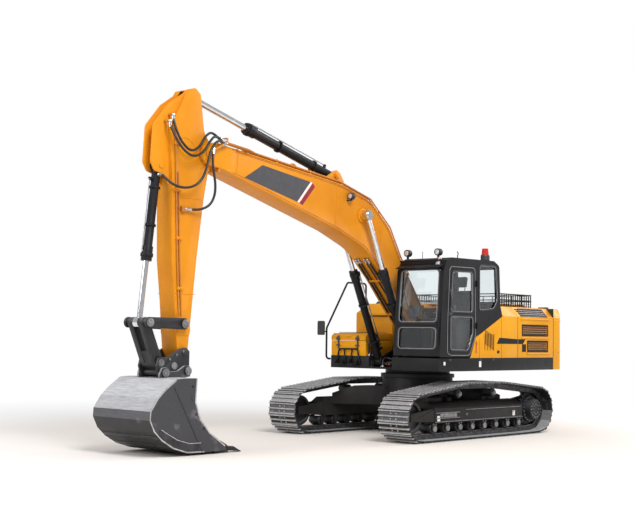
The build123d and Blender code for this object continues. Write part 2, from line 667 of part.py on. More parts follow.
def boom():
    body = hollow(BOOM_OUTLINE, BOOM_RADII, BOOM_HALF, SKIN, LIP)
    body += disc(BOOM_FOOT, 150, -BOOM_HALF, BOOM_HALF)
    body -= disc(BOOM_FOOT, 51, -BOOM_HALF - 1, BOOM_HALF + 1)
    body += side_plate([(4700, 4325), (5090, 4405), (5330, 4330), (5370, 4160), (5270, 4070), (4960, 4030),
                        (4700, 3990)],
                       -BOOM_HALF, BOOM_HALF, radii=[0, 90, 90, 90, 60, 0, 0])
    body += side_plate([(5020, 3985), (5020, 4196), (4911, 4296), (4640, 4364), (4636, 4346), (4896, 4274),
                        (4994, 4186),
                        (4994, 3985)], SKIN - BOOM_HALF, BOOM_HALF - SKIN)
    body -= side_plate([(5010, 3900), (5010, 4192), (4905, 4290), (4690, 4345), (4690, 4500), (5500, 4500),
                        (5500, 3900)],
                       -ARM_HALF - 8, ARM_HALF + 8)
    body += disc(ARM_PIVOT, 45, -BOOM_HALF - 22, BOOM_HALF + 22)
    for side in (1, -1):
        body += side_plate([(2050, 4010), (2240, 4280), (2330, 4325), (2420, 4285), (2700, 4110)],
                           *sorted((side * 82, side * 108)),
                           radii=[0, 0, 40, 0, 0])
    body += disc(ARM_CYL_FOOT, PIN_R, -126, 126)
    return body


def boom_bosses():
    """Round bosses on the boom's sides for the two cylinders' eyes."""
    return both(disc(BOOM_CYL_EYE, 120, BOOM_HALF - LIP, BOOM_HALF + 12) + disc(BOOM_CYL_EYE, 85,
                                                                                BOOM_HALF + 12, 268))


def boom_lamp():
    """Round work lamp on its bracket at the boom's left side."""
    bracket = box(2140, 2190, BOOM_HALF - LIP, 300, 3826, 3838) + box(2158, 2172, 276, 300, 3838, 3870)
    return bracket + disc_along_x(2130, 2200, 288, 3900, 56)


def pipe_run(points, r):
    """A mitred steel pipe."""
    path = Polyline(*[Vector(*p) for p in points])
    return sweep(Plane(origin=path @ 0, z_dir=path % 0) * Circle(r), path=path, transition=Transition.RIGHT)


# the boom's top edge from above its foot to its tip, and the line down the arm's left side, as (x, z)
BOOM_TOP = [(560, 2680), (800, 2990), (1090, 3460), (1600, 3880), (2350, 4085), (4280, 4303), (4480, 4325),
            (4925, 4375)]
ARM_PIPE = [(5830, 4560), (5800, 3900), (5745, 2700), (5690, 1900)]
PIPE_R = 12.0
PIPE_LIFT = 38.0                        # middle of a pipe over the boom's top
# y of each pipe along the boom, and past the arm's slot at its tip
PIPE_LANES = ((206, 270), (165, 230), (124, 190), (-206, -206))


def lifted(points, height):
    """The run moved off to its left by a height, its corners kept mitred."""
    moved = []
    for n, (x, z) in enumerate(points):
        ahead = points[min(n + 1, len(points) - 1)]
        behind = points[max(n - 1, 0)]
        a = atan2(ahead[1] - z, ahead[0] - x) if ahead != (x, z) else atan2(z - behind[1], x - behind[0])
        b = atan2(z - behind[1], x - behind[0]) if behind != (x, z) else a
        away = height / cos((a - b) / 2)
        moved.append((x - away * sin((a + b) / 2), z + away * cos((a + b) / 2)))
    return moved


def boom_pipes():
    """Four pipes along the boom's top, the blocks that their hoses leave from and an elbow at its side."""
    pieces = []
    for lane, tip in PIPE_LANES:
        run = lifted(BOOM_TOP, PIPE_LIFT)
        pieces.append(pipe_run([(x, lane, z) for x, z in run[:-2]] + [(x, tip, z) for x, z in run[-2:]],
                               PIPE_R))
    block = box(4922, 4955, 172, 296, 4382, 4478)
    elbow = rod3((4945, 278, 4402), (5196, 282, 4262), 17)
    far = box(4922, 4955, -232, -180, 4382, 4478)
    return pieces + [block + elbow, far]


def arm_pipes():
    """Two pipes down the arm's left side, the block for the lower hose and the bosses for the others."""
    y = ARM_HALF + 18
    pieces = [pipe_run([(x, y, z) for x, z in ARM_PIPE], PIPE_R)]
    pieces.append(pipe_run([(x - 44, y, z) for x, z in ARM_PIPE[1:]], PIPE_R))
    pieces.append(box(5622, 5700, ARM_HALF + 1, ARM_HALF + 48, 3350, 3420))
    for x, z, y0, y1 in ((5885, 4696, 95, 196), (5958, 4596, 95, 208), (5935, 4530, -218, -95),
                         (5925, 4000, -218, -95)):
        pieces.append(disc((x, z), 20, y0, y1))
    return pieces


# Hydraulic hoses, each a route in millimetres. The scene repeats the same points in metres.
HOSE_D = 36.0
HOSES = {
    "upper_hose": [(4972, 190, 4436), (5140, 203, 4558), (5325, 243, 4460), (5450, 270, 4280),
                   (5620, 280, 4190),
                   (5790, 275, 4300), (5875, 240, 4480), (5885, 178, 4660)],
    "outer_hose": [(4972, 230, 4436), (5130, 254, 4500), (5285, 302, 4385), (5415, 315, 4205),
                   (5605, 325, 4110),
                   (5795, 315, 4190), (5915, 275, 4370), (5956, 196, 4560)],
    "bucket_hose": [(4972, 270, 4436), (5120, 300, 4420), (5258, 334, 4318), (5335, 350, 4160),
                    (5385, 350, 3985),
                    (5440, 330, 3815), (5580, 300, 3695), (5770, 265, 3665), (5930, 210, 3720),
                    (6015, 136, 3835)],
    "arm_hose": [(5205, 286, 4246), (5238, 312, 4095), (5218, 322, 3935), (5178, 318, 3775),
                 (5172, 302, 3615),
                 (5235, 280, 3475), (5372, 250, 3400), (5520, 215, 3385), (5608, 190, 3385)],
    "far_hose": [(5937, -200, 4500), (6005, -235, 4385), (6028, -245, 4245), (5996, -235, 4115),
                 (5927, -200, 4030)],
}


def hose(name):
    """A tube of straight runs with an arc at each point as large as its two runs allow."""
    points = [Vector(*p) for p in HOSES[name]]
    radii = []
    for a, b, c in zip(points, points[1:], points[2:]):
        turn = radians((b - a).get_angle(c - b))
        radii.append(0.45 * min((b - a).length, (c - b).length) / tan(turn / 2))
    path = FilletPolyline(*points, radius=radii)
    print(name, "length", round(path.length), "radii", [round(r) for r in radii])
    tube = Plane(origin=path @ 0, z_dir=path % 0) * RegularPolygon(HOSE_D / 2, 8)
    return sweep(tube, path=path)


ARM_OUTLINE = [(5350, 5060), (5270, 4520), (5080, 4290), (5075, 4180), (5190, 3930), (5260, 3540),
               (5370, 2700), (5500, 1420),
               (5560, 1290), (5640, 1300), (5700, 1460), (5760, 2110), (5830, 2670), (5860, 3890),
               (5900, 4530), (5560, 5110),
               (5450, 5140)]
ARM_RADII = [60, 200, 60, 60, 300, 0, 0, 0, 60, 60, 0, 0, 0, 0, 120, 60, 60]


def arm():
    body = hollow(ARM_OUTLINE, ARM_RADII, ARM_HALF, SKIN)
    body -= disc(ARM_PIVOT, 46, -ARM_HALF - 1, ARM_HALF + 1)
    body += disc(ARM_PIVOT, 120, -ARM_HALF, ARM_HALF) - disc(ARM_PIVOT, 46, -ARM_HALF - 1, ARM_HALF + 1)
    body -= side_plate([(5250, 5350), (5250, 4880), (5640, 4930), (5760, 5350)], -62, 62)
    for side in (1, -1):
        body += side_plate([(5560, 5090), (5900, 4850), (6160, 4530), (6190, 4010), (6120, 3890),
                            (5960, 3850), (5850, 3700),
                            (5850, 4400)], *sorted((side * 70, side * 94)),
                            radii=[0, 80, 120, 60, 60, 40, 0, 0])
        body += disc(ROCKER_PIN, 80, *sorted((side * ARM_HALF, side * 196)))
    body += disc(BUCKET_CYL_FOOT, PIN_R, -110, 110)
    body += disc(ROCKER_PIN, PIN_R, -262, 262)
    body -= disc(ARM_TIP, 41, -ARM_HALF - 1, ARM_HALF + 1)
    return body


# ---------------------------------------------------------------- cylinders
def barrel(foot, eye, y, r, eye_r, head, bore, length, half, pin):
    """Tube from the foot's eye to the gland, open for the rod."""
    tube = bar(between(foot, eye, eye_r - 10), between(foot, eye, length), r, y)
    tube += bar(between(foot, eye, length - 190), between(foot, eye, length + 10), head, y)
    tube += disc(foot, eye_r, y - half, y + half)
    tube -= disc(foot, pin + 1, y - half - 1, y + half + 1)
    tube -= bar(between(foot, eye, eye_r + 35), between(foot, eye, length + 20), bore, y)
    return tube


def rod(foot, eye, y, r, eye_r, stop, half):
    """Plated rod with a plain eye, its end a piston inside the barrel."""
    stem = bar(between(foot, eye, stop), between(eye, foot, eye_r - 12), r, y)
    return stem + disc(eye, eye_r, y - half, y + half)


def cylinders():
    barrels = []
    rods = []
    for side in (1, -1):
        y = side * BOOM_CYL_Y
        barrels.append(barrel(BOOM_CYL_FOOT, BOOM_CYL_EYE, y, 65, 78, 76, 44, 1690, 50, PIN_R))
        piece = rod(BOOM_CYL_FOOT, BOOM_CYL_EYE, y, 42, 84, 907, 50)
        piece += disc(BOOM_CYL_EYE, 62, *sorted((y + side * 50, y + side * 68)))
        rods.append(piece)
    save("boom_cylinder_barrels", *barrels)
    save("boom_cylinder_rods", *rods)
    save("arm_cylinder_barrel", barrel(ARM_CYL_FOOT, ARM_CYL_EYE, 0, 72, 80, 88, 50, 2020, 74, PIN_R))
    save("arm_cylinder_rod", rod(ARM_CYL_FOOT, ARM_CYL_EYE, 0, 48, 80, 1250, 52))
    save("bucket_cylinder_barrel", barrel(BUCKET_CYL_FOOT, LINK_PIN, 0, 62, 75, 76, 41, 1330, 63, PIN_R))
    save("bucket_cylinder_rod", rod(BUCKET_CYL_FOOT, LINK_PIN, 0, 39, 75, 700, 50))


# ---------------------------------------------------------------- bucket end
def rocker_links():
    """Two forged links from the arm's boss to the rod's end."""
    links = []
    for side in (1, -1):
        lane = sorted((side * 204, side * 240))
        link = side_plate([(5600, 1860), (6240, 1862), (6250, 1718), (5640, 1700)], *lane)
        link += disc(ROCKER_PIN, 82, *lane) + disc(LINK_PIN, 74, *lane)
        link -= disc(ROCKER_PIN, 41, side * 222 - 20, side * 222 + 20)
        links.append(link)
    return links


def h_link():
    """Fork round the rod's eye, closing to one web at the coupler's pin."""
    body = None
    for side in (1, -1):
        lane = sorted((side * 62, side * LINK_HALF))
        cheek = disc(LINK_PIN, 72, *lane) + disc(LINK_PIN, 60, *sorted((side * LINK_HALF, side * 200)))
        cheek += side_plate([(6185, 1800), (6318, 1772), (6078, 1222), (5944, 1258)], *lane)
        body = cheek if body is None else body + cheek
    lane = (-LINK_HALF, LINK_HALF)
    body += disc(COUPLER_PIN, 72, *lane)
    body += side_plate([(6010, 1430), (6150, 1395), (6075, 1235), (5950, 1265)], *lane)
    body -= disc(COUPLER_PIN, PIN_R + 1, -201, 201)
    return body


def coupler():
    """Quick coupler: cheeks between the arm's pins above and the bucket's pins below."""
    cheek = [(5500, 1400), (5560, 1450), (5660, 1440), (5900, 1320), (6060, 1310), (6090, 1200),
             (6050, 1064), (5900, 1052),
             (5640, 1060), (5560, 1052), (5500, 1110)]
    body = None
    for side in (1, -1):
        plate = side_plate(cheek, *sorted((side * 168, side * 202)))
        body = plate if body is None else body + plate
    body += side_plate([(5660, 1170), (5880, 1120), (5880, 1062), (5660, 1075)], -168, 168)
    body += disc(ARM_TIP, PIN_R, -212, 212) + disc(COUPLER_PIN, PIN_R, -212, 212)
    body += disc(BUCKET_PIN, 36, -262, 262) + disc(BUCKET_REAR_PIN, 36, -262, 262)
    return body


BUCKET_BACK = [(5550, 32), (5860, 38), (6110, 110), (6310, 222), (6450, 345), (6530, 500), (6522, 620),
               (6400, 790), (6270, 905),
               (6080, 1032), (5960, 1042)]
BUCKET_MOUTH = [(5700, 1042), (5715, 720), (5625, 490), (5450, 300), (5150, 105), (5130, 40)]
PLATE_T = 26.0


def bucket():
    """Shell bent to the back's facets with a side plate each side, ears on the top."""
    face = side_face(BUCKET_BACK + BUCKET_MOUTH)
    body = across(face, -BUCKET_HALF, BUCKET_HALF)
    hole = side_face([(5120, 62), (5550, 58), (5852, 64), (6098, 135), (6293, 245), (6428, 362),
                      (6502, 506), (6495, 610),
                      (6380, 772), (6255, 882), (6072, 1006), (5960, 1016), (5500, 1016), (5000, 300),
                      (4900, 62)])
    body -= across(hole, -BUCKET_HALF + PLATE_T, BUCKET_HALF - PLATE_T)
    ear = [(5485, 1120), (5530, 1200), (5620, 1200), (5740, 1130), (5880, 1120), (5940, 1180), (6020, 1175),
           (6062, 1100),
           (6070, 1020), (5705, 1020), (5520, 1050)]
    for side in (1, -1):
        body += side_plate(ear, *sorted((side * 208, side * 240)))
        body -= disc(BUCKET_PIN, 37, *sorted((side * 200, side * 250)))
        body -= disc(BUCKET_REAR_PIN, 37, *sorted((side * 200, side * 250)))
    return body


def bucket_teeth():
    """Five cast teeth on adaptors that straddle the lip."""
    teeth = []
    for n in range(5):
        y = -532 + 266 * n
        tooth = side_plate([(4810, 2), (5090, 30), (5110, 92), (4975, 84)], y - 45, y + 45)
        tooth += side_plate([(5070, 8), (5330, 12), (5330, 30), (5122, 36), (5142, 110), (5300, 192),
                             (5290, 208),
                             (5126, 130), (5060, 88)], y - 34, y + 34)
        teeth.append(tooth)
    return teeth


def front():
    save("boom", boom())
    save("boom_bosses", *boom_bosses())
    save("boom_lamp", boom_lamp())
    save("boom_pipes", *boom_pipes())
    save("arm_pipes", *arm_pipes())
    for name in HOSES:
        save(name, hose(name))
    save("arm", arm())
    cylinders()
    save("rocker_links", *rocker_links())
    save("h_link", h_link())
    save("quick_coupler", coupler())
    save("bucket", bucket())
    save("bucket_teeth", *bucket_teeth())


def more_house():
    save("cab_glass", *cab_glass())
    save("door_glass", *door_glass())
    save("cab_controls", *cab_floor_kit())
    save("roof_lights", *roof_lights())
    save("beacon", beacon())
    save("handrails", *handrails())
    save("right_mirror", mirror_right())


undercarriage()
upper_structure()
more_house()
front()
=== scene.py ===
import json
from math import atan2, cos, hypot, pi, radians, sin

import bpy
from mathutils import Matrix, Quaternion, Vector


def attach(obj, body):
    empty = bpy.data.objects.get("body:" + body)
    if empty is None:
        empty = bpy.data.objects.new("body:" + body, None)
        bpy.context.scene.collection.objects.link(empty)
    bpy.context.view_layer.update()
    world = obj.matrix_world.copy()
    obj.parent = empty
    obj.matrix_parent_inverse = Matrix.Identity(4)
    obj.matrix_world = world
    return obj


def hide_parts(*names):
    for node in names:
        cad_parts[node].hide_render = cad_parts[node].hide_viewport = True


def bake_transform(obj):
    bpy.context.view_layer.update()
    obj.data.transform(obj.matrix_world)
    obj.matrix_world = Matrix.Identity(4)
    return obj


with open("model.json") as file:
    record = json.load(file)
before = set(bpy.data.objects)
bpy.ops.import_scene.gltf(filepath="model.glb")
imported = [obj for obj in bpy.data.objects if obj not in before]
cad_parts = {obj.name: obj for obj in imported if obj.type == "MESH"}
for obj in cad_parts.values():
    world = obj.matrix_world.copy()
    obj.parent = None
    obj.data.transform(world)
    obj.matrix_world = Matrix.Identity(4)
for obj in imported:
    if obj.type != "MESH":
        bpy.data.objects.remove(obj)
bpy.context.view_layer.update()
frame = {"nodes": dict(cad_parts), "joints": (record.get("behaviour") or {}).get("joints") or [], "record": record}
record = frame["record"]
print("frame loaded:", len(frame["nodes"]), "nodes")

# metres from the swing axis to the origin: the layout numbers below count from the swing axis
swingX = frame["joints"][0]["pos_m"][0]


def at(x, y, z):
    return Vector((x + swingX, y, z))


# small tools, each one a few operators
def clearPick():
    if bpy.context.object and bpy.context.object.mode != "OBJECT":
        bpy.ops.object.mode_set(mode="OBJECT")
    bpy.ops.object.select_all(action="DESELECT")


def pickOnly(piece):
    clearPick()
    piece.select_set(True)
    bpy.context.view_layer.objects.active = piece


def bakePlace(piece):
    pickOnly(piece)
    bpy.ops.object.transform_apply(location=True, rotation=True, scale=True)
    return piece


def addBlock(name, low, high):
    clearPick()
    low, high = Vector(low), Vector(high)
    bpy.ops.mesh.primitive_cube_add(size=1, location=(low + high) / 2)
    piece = bpy.context.object
    piece.name = name
    piece.scale = high - low
    return bakePlace(piece)


def addRound(name, start, end, radius, sides=24, tip=None):
    clearPick()
    start, end = Vector(start), Vector(end)
    run = end - start
    bpy.ops.mesh.primitive_cone_add(vertices=sides, radius1=radius, radius2=radius if tip is None else tip,
                                    depth=run.length, location=(start + end) / 2)
    piece = bpy.context.object
    piece.name = name
    piece.rotation_mode = "QUATERNION"
    piece.rotation_quaternion = run.to_track_quat("Z", "Y")
    return bakePlace(piece)


def addPanel(name, spots, out, rim=None):
    # a flat plate through its corner spots, or only a rim of it, drawn out by a vector
    clearPick()
    bpy.ops.mesh.primitive_circle_add(vertices=len(spots), fill_type="NGON")
    piece = bpy.context.object
    piece.name = name
    for vertex, spot in zip(piece.data.vertices, spots):
        vertex.co = spot
    bpy.ops.object.mode_set(mode="EDIT")
    bpy.ops.mesh.select_all(action="SELECT")
    if rim:
        bpy.ops.mesh.inset(thickness=rim, depth=0, use_even_offset=True)
        bpy.ops.mesh.delete(type="FACE")
        bpy.ops.mesh.select_all(action="SELECT")
    bpy.ops.mesh.extrude_region_move(TRANSFORM_OT_translate={"value": Vector(out)})
    bpy.ops.mesh.select_all(action="SELECT")
    bpy.ops.mesh.normals_make_consistent(inside=False)
    bpy.ops.object.mode_set(mode="OBJECT")
    return piece


def rounded(points, radius, steps=4):
    # a flat outline with its corners turned into short arcs
    corners = []
    for n, spot in enumerate(points):
        here = Vector(spot)
        before = Vector(points[n - 1]) - here
        after = Vector(points[(n + 1) % len(points)]) - here
        reach = min(radius, before.length * 0.45, after.length * 0.45)
        first, last = here + before.normalized() * reach, here + after.normalized() * reach
        for step in range(steps + 1):
            t = step / steps
            corners.append(first * (1 - t) ** 2 + here * 2 * t * (1 - t) + last * t ** 2)
    return corners


def sideSpots(points, y):
    return [at(p[0], y, p[1]) for p in points]


def addSide(name, points, y0, y1, rim=None):
    # an outline in x and z, drawn across from y0 to y1
    return addPanel(name, sideSpots(points, y0), (0, y1 - y0, 0), rim)


def addTube(name, spots, radius, order=2, sides=3):
    # a pipe or a held hose through its spots
    curve = bpy.data.curves.new(name, "CURVE")
    curve.dimensions = "3D"
    curve.bevel_depth = radius
    curve.bevel_resolution = sides
    curve.use_fill_caps = True
    curve.resolution_u = 6
    spline = curve.splines.new("NURBS")
    spline.points.add(len(spots) - 1)
    for point, spot in zip(spline.points, spots):
        point.co = (*spot, 1)
    spline.order_u = order
    spline.use_endpoint_u = True
    piece = bpy.data.objects.new(name, curve)
    bpy.context.collection.objects.link(piece)
    pickOnly(piece)
    bpy.ops.object.convert(target="MESH")
    return smooth(bpy.context.object, 50)


def addBolts(name, spots, facing, radius, height, sides=6):
    # heads of one size, all facing one way
    first = soften(addRound(name, (0, 0, 0), Vector(facing) * height, radius, sides), radius * 0.14, 1)
    heads = [copyOf(first, spot) for spot in spots]
    bpy.data.objects.remove(first)
    return joined(name, heads)


def applyModifier(piece, kind, **settings):
    pickOnly(piece)
    modifier = piece.modifiers.new(kind.title(), kind)
    for key, value in settings.items():
        setattr(modifier, key, value)
    bpy.ops.object.modifier_apply(modifier=modifier.name)


def soften(piece, width, segments=2, angle=35):
    applyModifier(piece, "BEVEL", width=width, segments=segments, limit_method="ANGLE", angle_limit=radians(angle),
                  use_clamp_overlap=True)
    return smooth(piece)


def smooth(piece, angle=35):
    pickOnly(piece)
    bpy.ops.object.shade_smooth_by_angle(angle=radians(angle))
    return piece


def copyOf(piece, offset=(0, 0, 0), turn=None):
    twin = piece.copy()
    twin.data = piece.data.copy()
    bpy.context.collection.objects.link(twin)
    twin.location = offset
    if turn:
        twin.rotation_mode = "QUATERNION"
        twin.rotation_quaternion = turn
    return bakePlace(twin)


def joined(name, pieces):
    clearPick()
    for piece in pieces:
        piece.select_set(True)
    bpy.context.view_layer.objects.active = pieces[0]
    if len(pieces) > 1:
        bpy.ops.object.join()
    piece = bpy.context.object
    piece.name = name
    return piece


def place(piece, body, material, standsFor=()):
    piece.data.materials.clear()
    piece.data.materials.append(material)
    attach(piece, body)
    if standsFor:
        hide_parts(*standsFor)
    return piece


def softBlock(name, low, high, width, segments):
    # a block with rounded edges between two layout spots
    return soften(addBlock(name, at(*low), at(*high)), width, segments)


def softRound(name, start, end, radius, sides, width, segments, tip=None):
    return soften(addRound(name, at(*start), at(*end), radius, sides, tip), width, segments)


def tubeAt(name, spots, radius, order=2, sides=3):
    return addTube(name, [at(*spot) for spot in spots], radius, order, sides)


def fit(name, pieces, body, finish):
    return place(joined(name, pieces), body, paints[finish])


def newMaterial(name):
    material = bpy.data.materials.new(name)
    material.use_nodes = True
    tree = material.node_tree
    shader = tree.nodes["Principled BSDF"]
    coords = tree.nodes.new("ShaderNodeTexCoord")
    return material, tree, shader, coords.outputs["Object"]


def setInputs(node, values):
    for key, value in values.items():
        node.inputs[key].default_value = value


def addNode(tree, kind, values):
    node = tree.nodes.new("ShaderNode" + kind)
    setInputs(node, values)
    return node


def noiseAt(tree, where, scale, detail=6.0, rough=0.55):
    noise = addNode(tree, "TexNoise", {"Scale": scale, "Detail": detail, "Roughness": rough})
    tree.links.new(where, noise.inputs["Vector"])
    return noise.outputs["Fac"]


def rampOf(tree, value, stops):
    ramp = tree.nodes.new("ShaderNodeValToRGB")
    while len(ramp.color_ramp.elements) < len(stops):
        ramp.color_ramp.elements.new(0.5)
    for element, (position, color) in zip(ramp.color_ramp.elements, stops):
        element.position = position
        element.color = (*color, 1) if len(color) == 3 else color
    tree.links.new(value, ramp.inputs["Fac"])
    return ramp.outputs["Color"]


def mixOf(tree, share, first, second):
    mix = tree.nodes.new("ShaderNodeMix")
    mix.data_type = "RGBA"
    for socket, value in (("Factor", share), ("A", first), ("B", second)):
        target = mix.inputs[0] if socket == "Factor" else next(s for s in mix.inputs
                                                               if s.name == socket and s.type == "RGBA")
        if isinstance(value, (tuple, float, int)):
            target.default_value = value if not isinstance(value, tuple) else (*value, 1)
        else:
            tree.links.new(value, target)
    return next(s for s in mix.outputs if s.type == "RGBA")


def bumpOn(tree, shader, height, strength, distance):
    bump = addNode(tree, "Bump", {"Strength": strength, "Distance": distance})
    tree.links.new(height, bump.inputs["Height"])
    tree.links.new(bump.outputs["Normal"], shader.inputs["Normal"])


def rangeOf(tree, value, low, high, first=0, last=1):
    share = addNode(tree, "MapRange", {"From Min": low, "From Max": high, "To Min": first, "To Max": last})
    tree.links.new(value, share.inputs["Value"])
    return share.outputs["Result"]


def heightOf(tree, coords):
    split = tree.nodes.new("ShaderNodeSeparateXYZ")
    tree.links.new(coords, split.inputs["Vector"])
    return split.outputs["Z"]


def product(tree, first, second, operation="MULTIPLY"):
    node = tree.nodes.new("ShaderNodeMath")
    node.operation = operation
    for socket, value in zip(node.inputs, (first, second)):
        if isinstance(value, (float, int)):
            socket.default_value = value
        else:
            tree.links.new(value, socket)
    return node.outputs["Value"]


dustColor = (0.42, 0.36, 0.28)


def paint(name, color, deep, gloss, dustHigh, coat=0.25, dusty=0.55, shine=0.5):
    # sprayed enamel: slow changes of tone, a fine orange peel, and dust that thins with height
    material, tree, shader, coords = newMaterial(name)
    tone = rampOf(tree, noiseAt(tree, coords, 1.3, 4), [(0.3, deep), (0.62, color)])
    specks = rampOf(tree, noiseAt(tree, coords, 34, 8, 0.7), [(0.5, (0, 0, 0)), (0.78, (1, 1, 1))])
    low = rangeOf(tree, heightOf(tree, coords), 0.0, dustHigh, 1, 0)
    patch = noiseAt(tree, coords, 5.5, 7, 0.65)
    share = product(tree, product(tree, low, patch), dusty)
    share = product(tree, share, product(tree, specks, dusty * 0.2), "ADD")
    tree.links.new(mixOf(tree, share, tone, dustColor), shader.inputs["Base Color"])
    rough = rampOf(tree, noiseAt(tree, coords, 9, 6), [(0.3, (gloss,) * 3), (0.8, (gloss + 0.16,) * 3)])
    tree.links.new(rough, shader.inputs["Roughness"])
    setInputs(shader, {"Coat Weight": coat, "Coat Roughness": 0.12, "Specular IOR Level": shine})
    bumpOn(tree, shader, noiseAt(tree, coords, 420, 2), 0.05, 0.001)
    return material


def scouredSteelPaintedToplight(name, side, top, deep, rough, metal=0.35, scale=5.0):
    # plate scoured by soil, with long faint drags; its tone follows which way a face points, bright where it faces up
    # and dark where it hangs over, partly dust and wear and partly painted top light and underside shade
    material, tree, shader, coords = newMaterial(name)
    patch = noiseAt(tree, coords, scale, 8, 0.6)
    middle = tuple(a * 0.45 + b * 0.55 for a, b in zip(top, side))
    facing = tree.nodes.new("ShaderNodeTexCoord").outputs["Normal"]
    # painted light and shade: faces turned up take the pale top tone, faces turned down the dark deep tone
    upShareOfPaintedLight = rangeOf(tree, heightOf(tree, facing), -1.0, 1.0)
    tone = rampOf(tree, upShareOfPaintedLight, [(0.25, deep), (0.5, side), (0.66, middle), (0.92, top)])
    drags = addNode(tree, "Mapping", {"Scale": (3.0, 0.35, 3.0)})
    tree.links.new(coords, drags.inputs["Vector"])
    streak = rampOf(tree, noiseAt(tree, drags.outputs["Vector"], 16, 9, 0.7), [(0.38, (0, 0, 0)), (0.66, (1, 1, 1))])
    mottled = mixOf(tree, product(tree, streak, 0.35), tone, deep)
    worn = rampOf(tree, patch, [(0.58, (0, 0, 0)), (0.74, (1, 1, 1))])
    tree.links.new(mixOf(tree, product(tree, worn, 0.22), mottled, top), shader.inputs["Base Color"])
    shader.inputs["Metallic"].default_value = metal
    spread = rampOf(tree, patch, [(0.3, (rough + 0.1,) * 3), (0.75, (rough - 0.06,) * 3)])
    tree.links.new(spread, shader.inputs["Roughness"])
    bumpOn(tree, shader, noiseAt(tree, coords, 70, 8, 0.7), 0.18, 0.002)
    return material


def wornSteel(name, dark, bright, rust, rough, scale=7.0, metal=0.85):
    material, tree, shader, coords = newMaterial(name)
    patch = noiseAt(tree, coords, scale, 9, 0.68)
    tone = rampOf(tree, patch, [(0.28, dark), (0.55, tuple((a + b) / 2 for a, b in zip(dark, bright))), (0.78, bright)])
    stains = rampOf(tree, noiseAt(tree, coords, scale * 0.45, 8, 0.7), [(0.52, (0, 0, 0)), (0.72, (1, 1, 1))])
    tree.links.new(mixOf(tree, product(tree, stains, 0.4), tone, rust), shader.inputs["Base Color"])
    shader.inputs["Metallic"].default_value = metal
    spread = rampOf(tree, patch, [(0.3, (rough + 0.12,) * 3), (0.75, (rough - 0.08,) * 3)])
    tree.links.new(spread, shader.inputs["Roughness"])
    bumpOn(tree, shader, noiseAt(tree, coords, 95, 8, 0.7), 0.25, 0.002)
    return material


def plainSurface(name, color, rough, metal=0.0, grain=300, bump=0.08):
    material, tree, shader, coords = newMaterial(name)
    tone = rampOf(tree, noiseAt(tree, coords, 12, 5), [(0.3, tuple(c * 0.8 for c in color)), (0.7, color)])
    tree.links.new(tone, shader.inputs["Base Color"])
    setInputs(shader, {"Roughness": rough, "Metallic": metal})
    bumpOn(tree, shader, noiseAt(tree, coords, grain, 3), bump, 0.001)
    return material


def glassPane(name, tint):
    material, tree, shader, coords = newMaterial(name)
    setInputs(shader, {"Base Color": (*tint, 1), "Transmission Weight": 1.0, "IOR": 1.45})
    rough = rampOf(tree, noiseAt(tree, coords, 2.2, 6), [(0.4, (0.0,) * 3), (0.8, (0.06,) * 3)])
    tree.links.new(rough, shader.inputs["Roughness"])
    return material


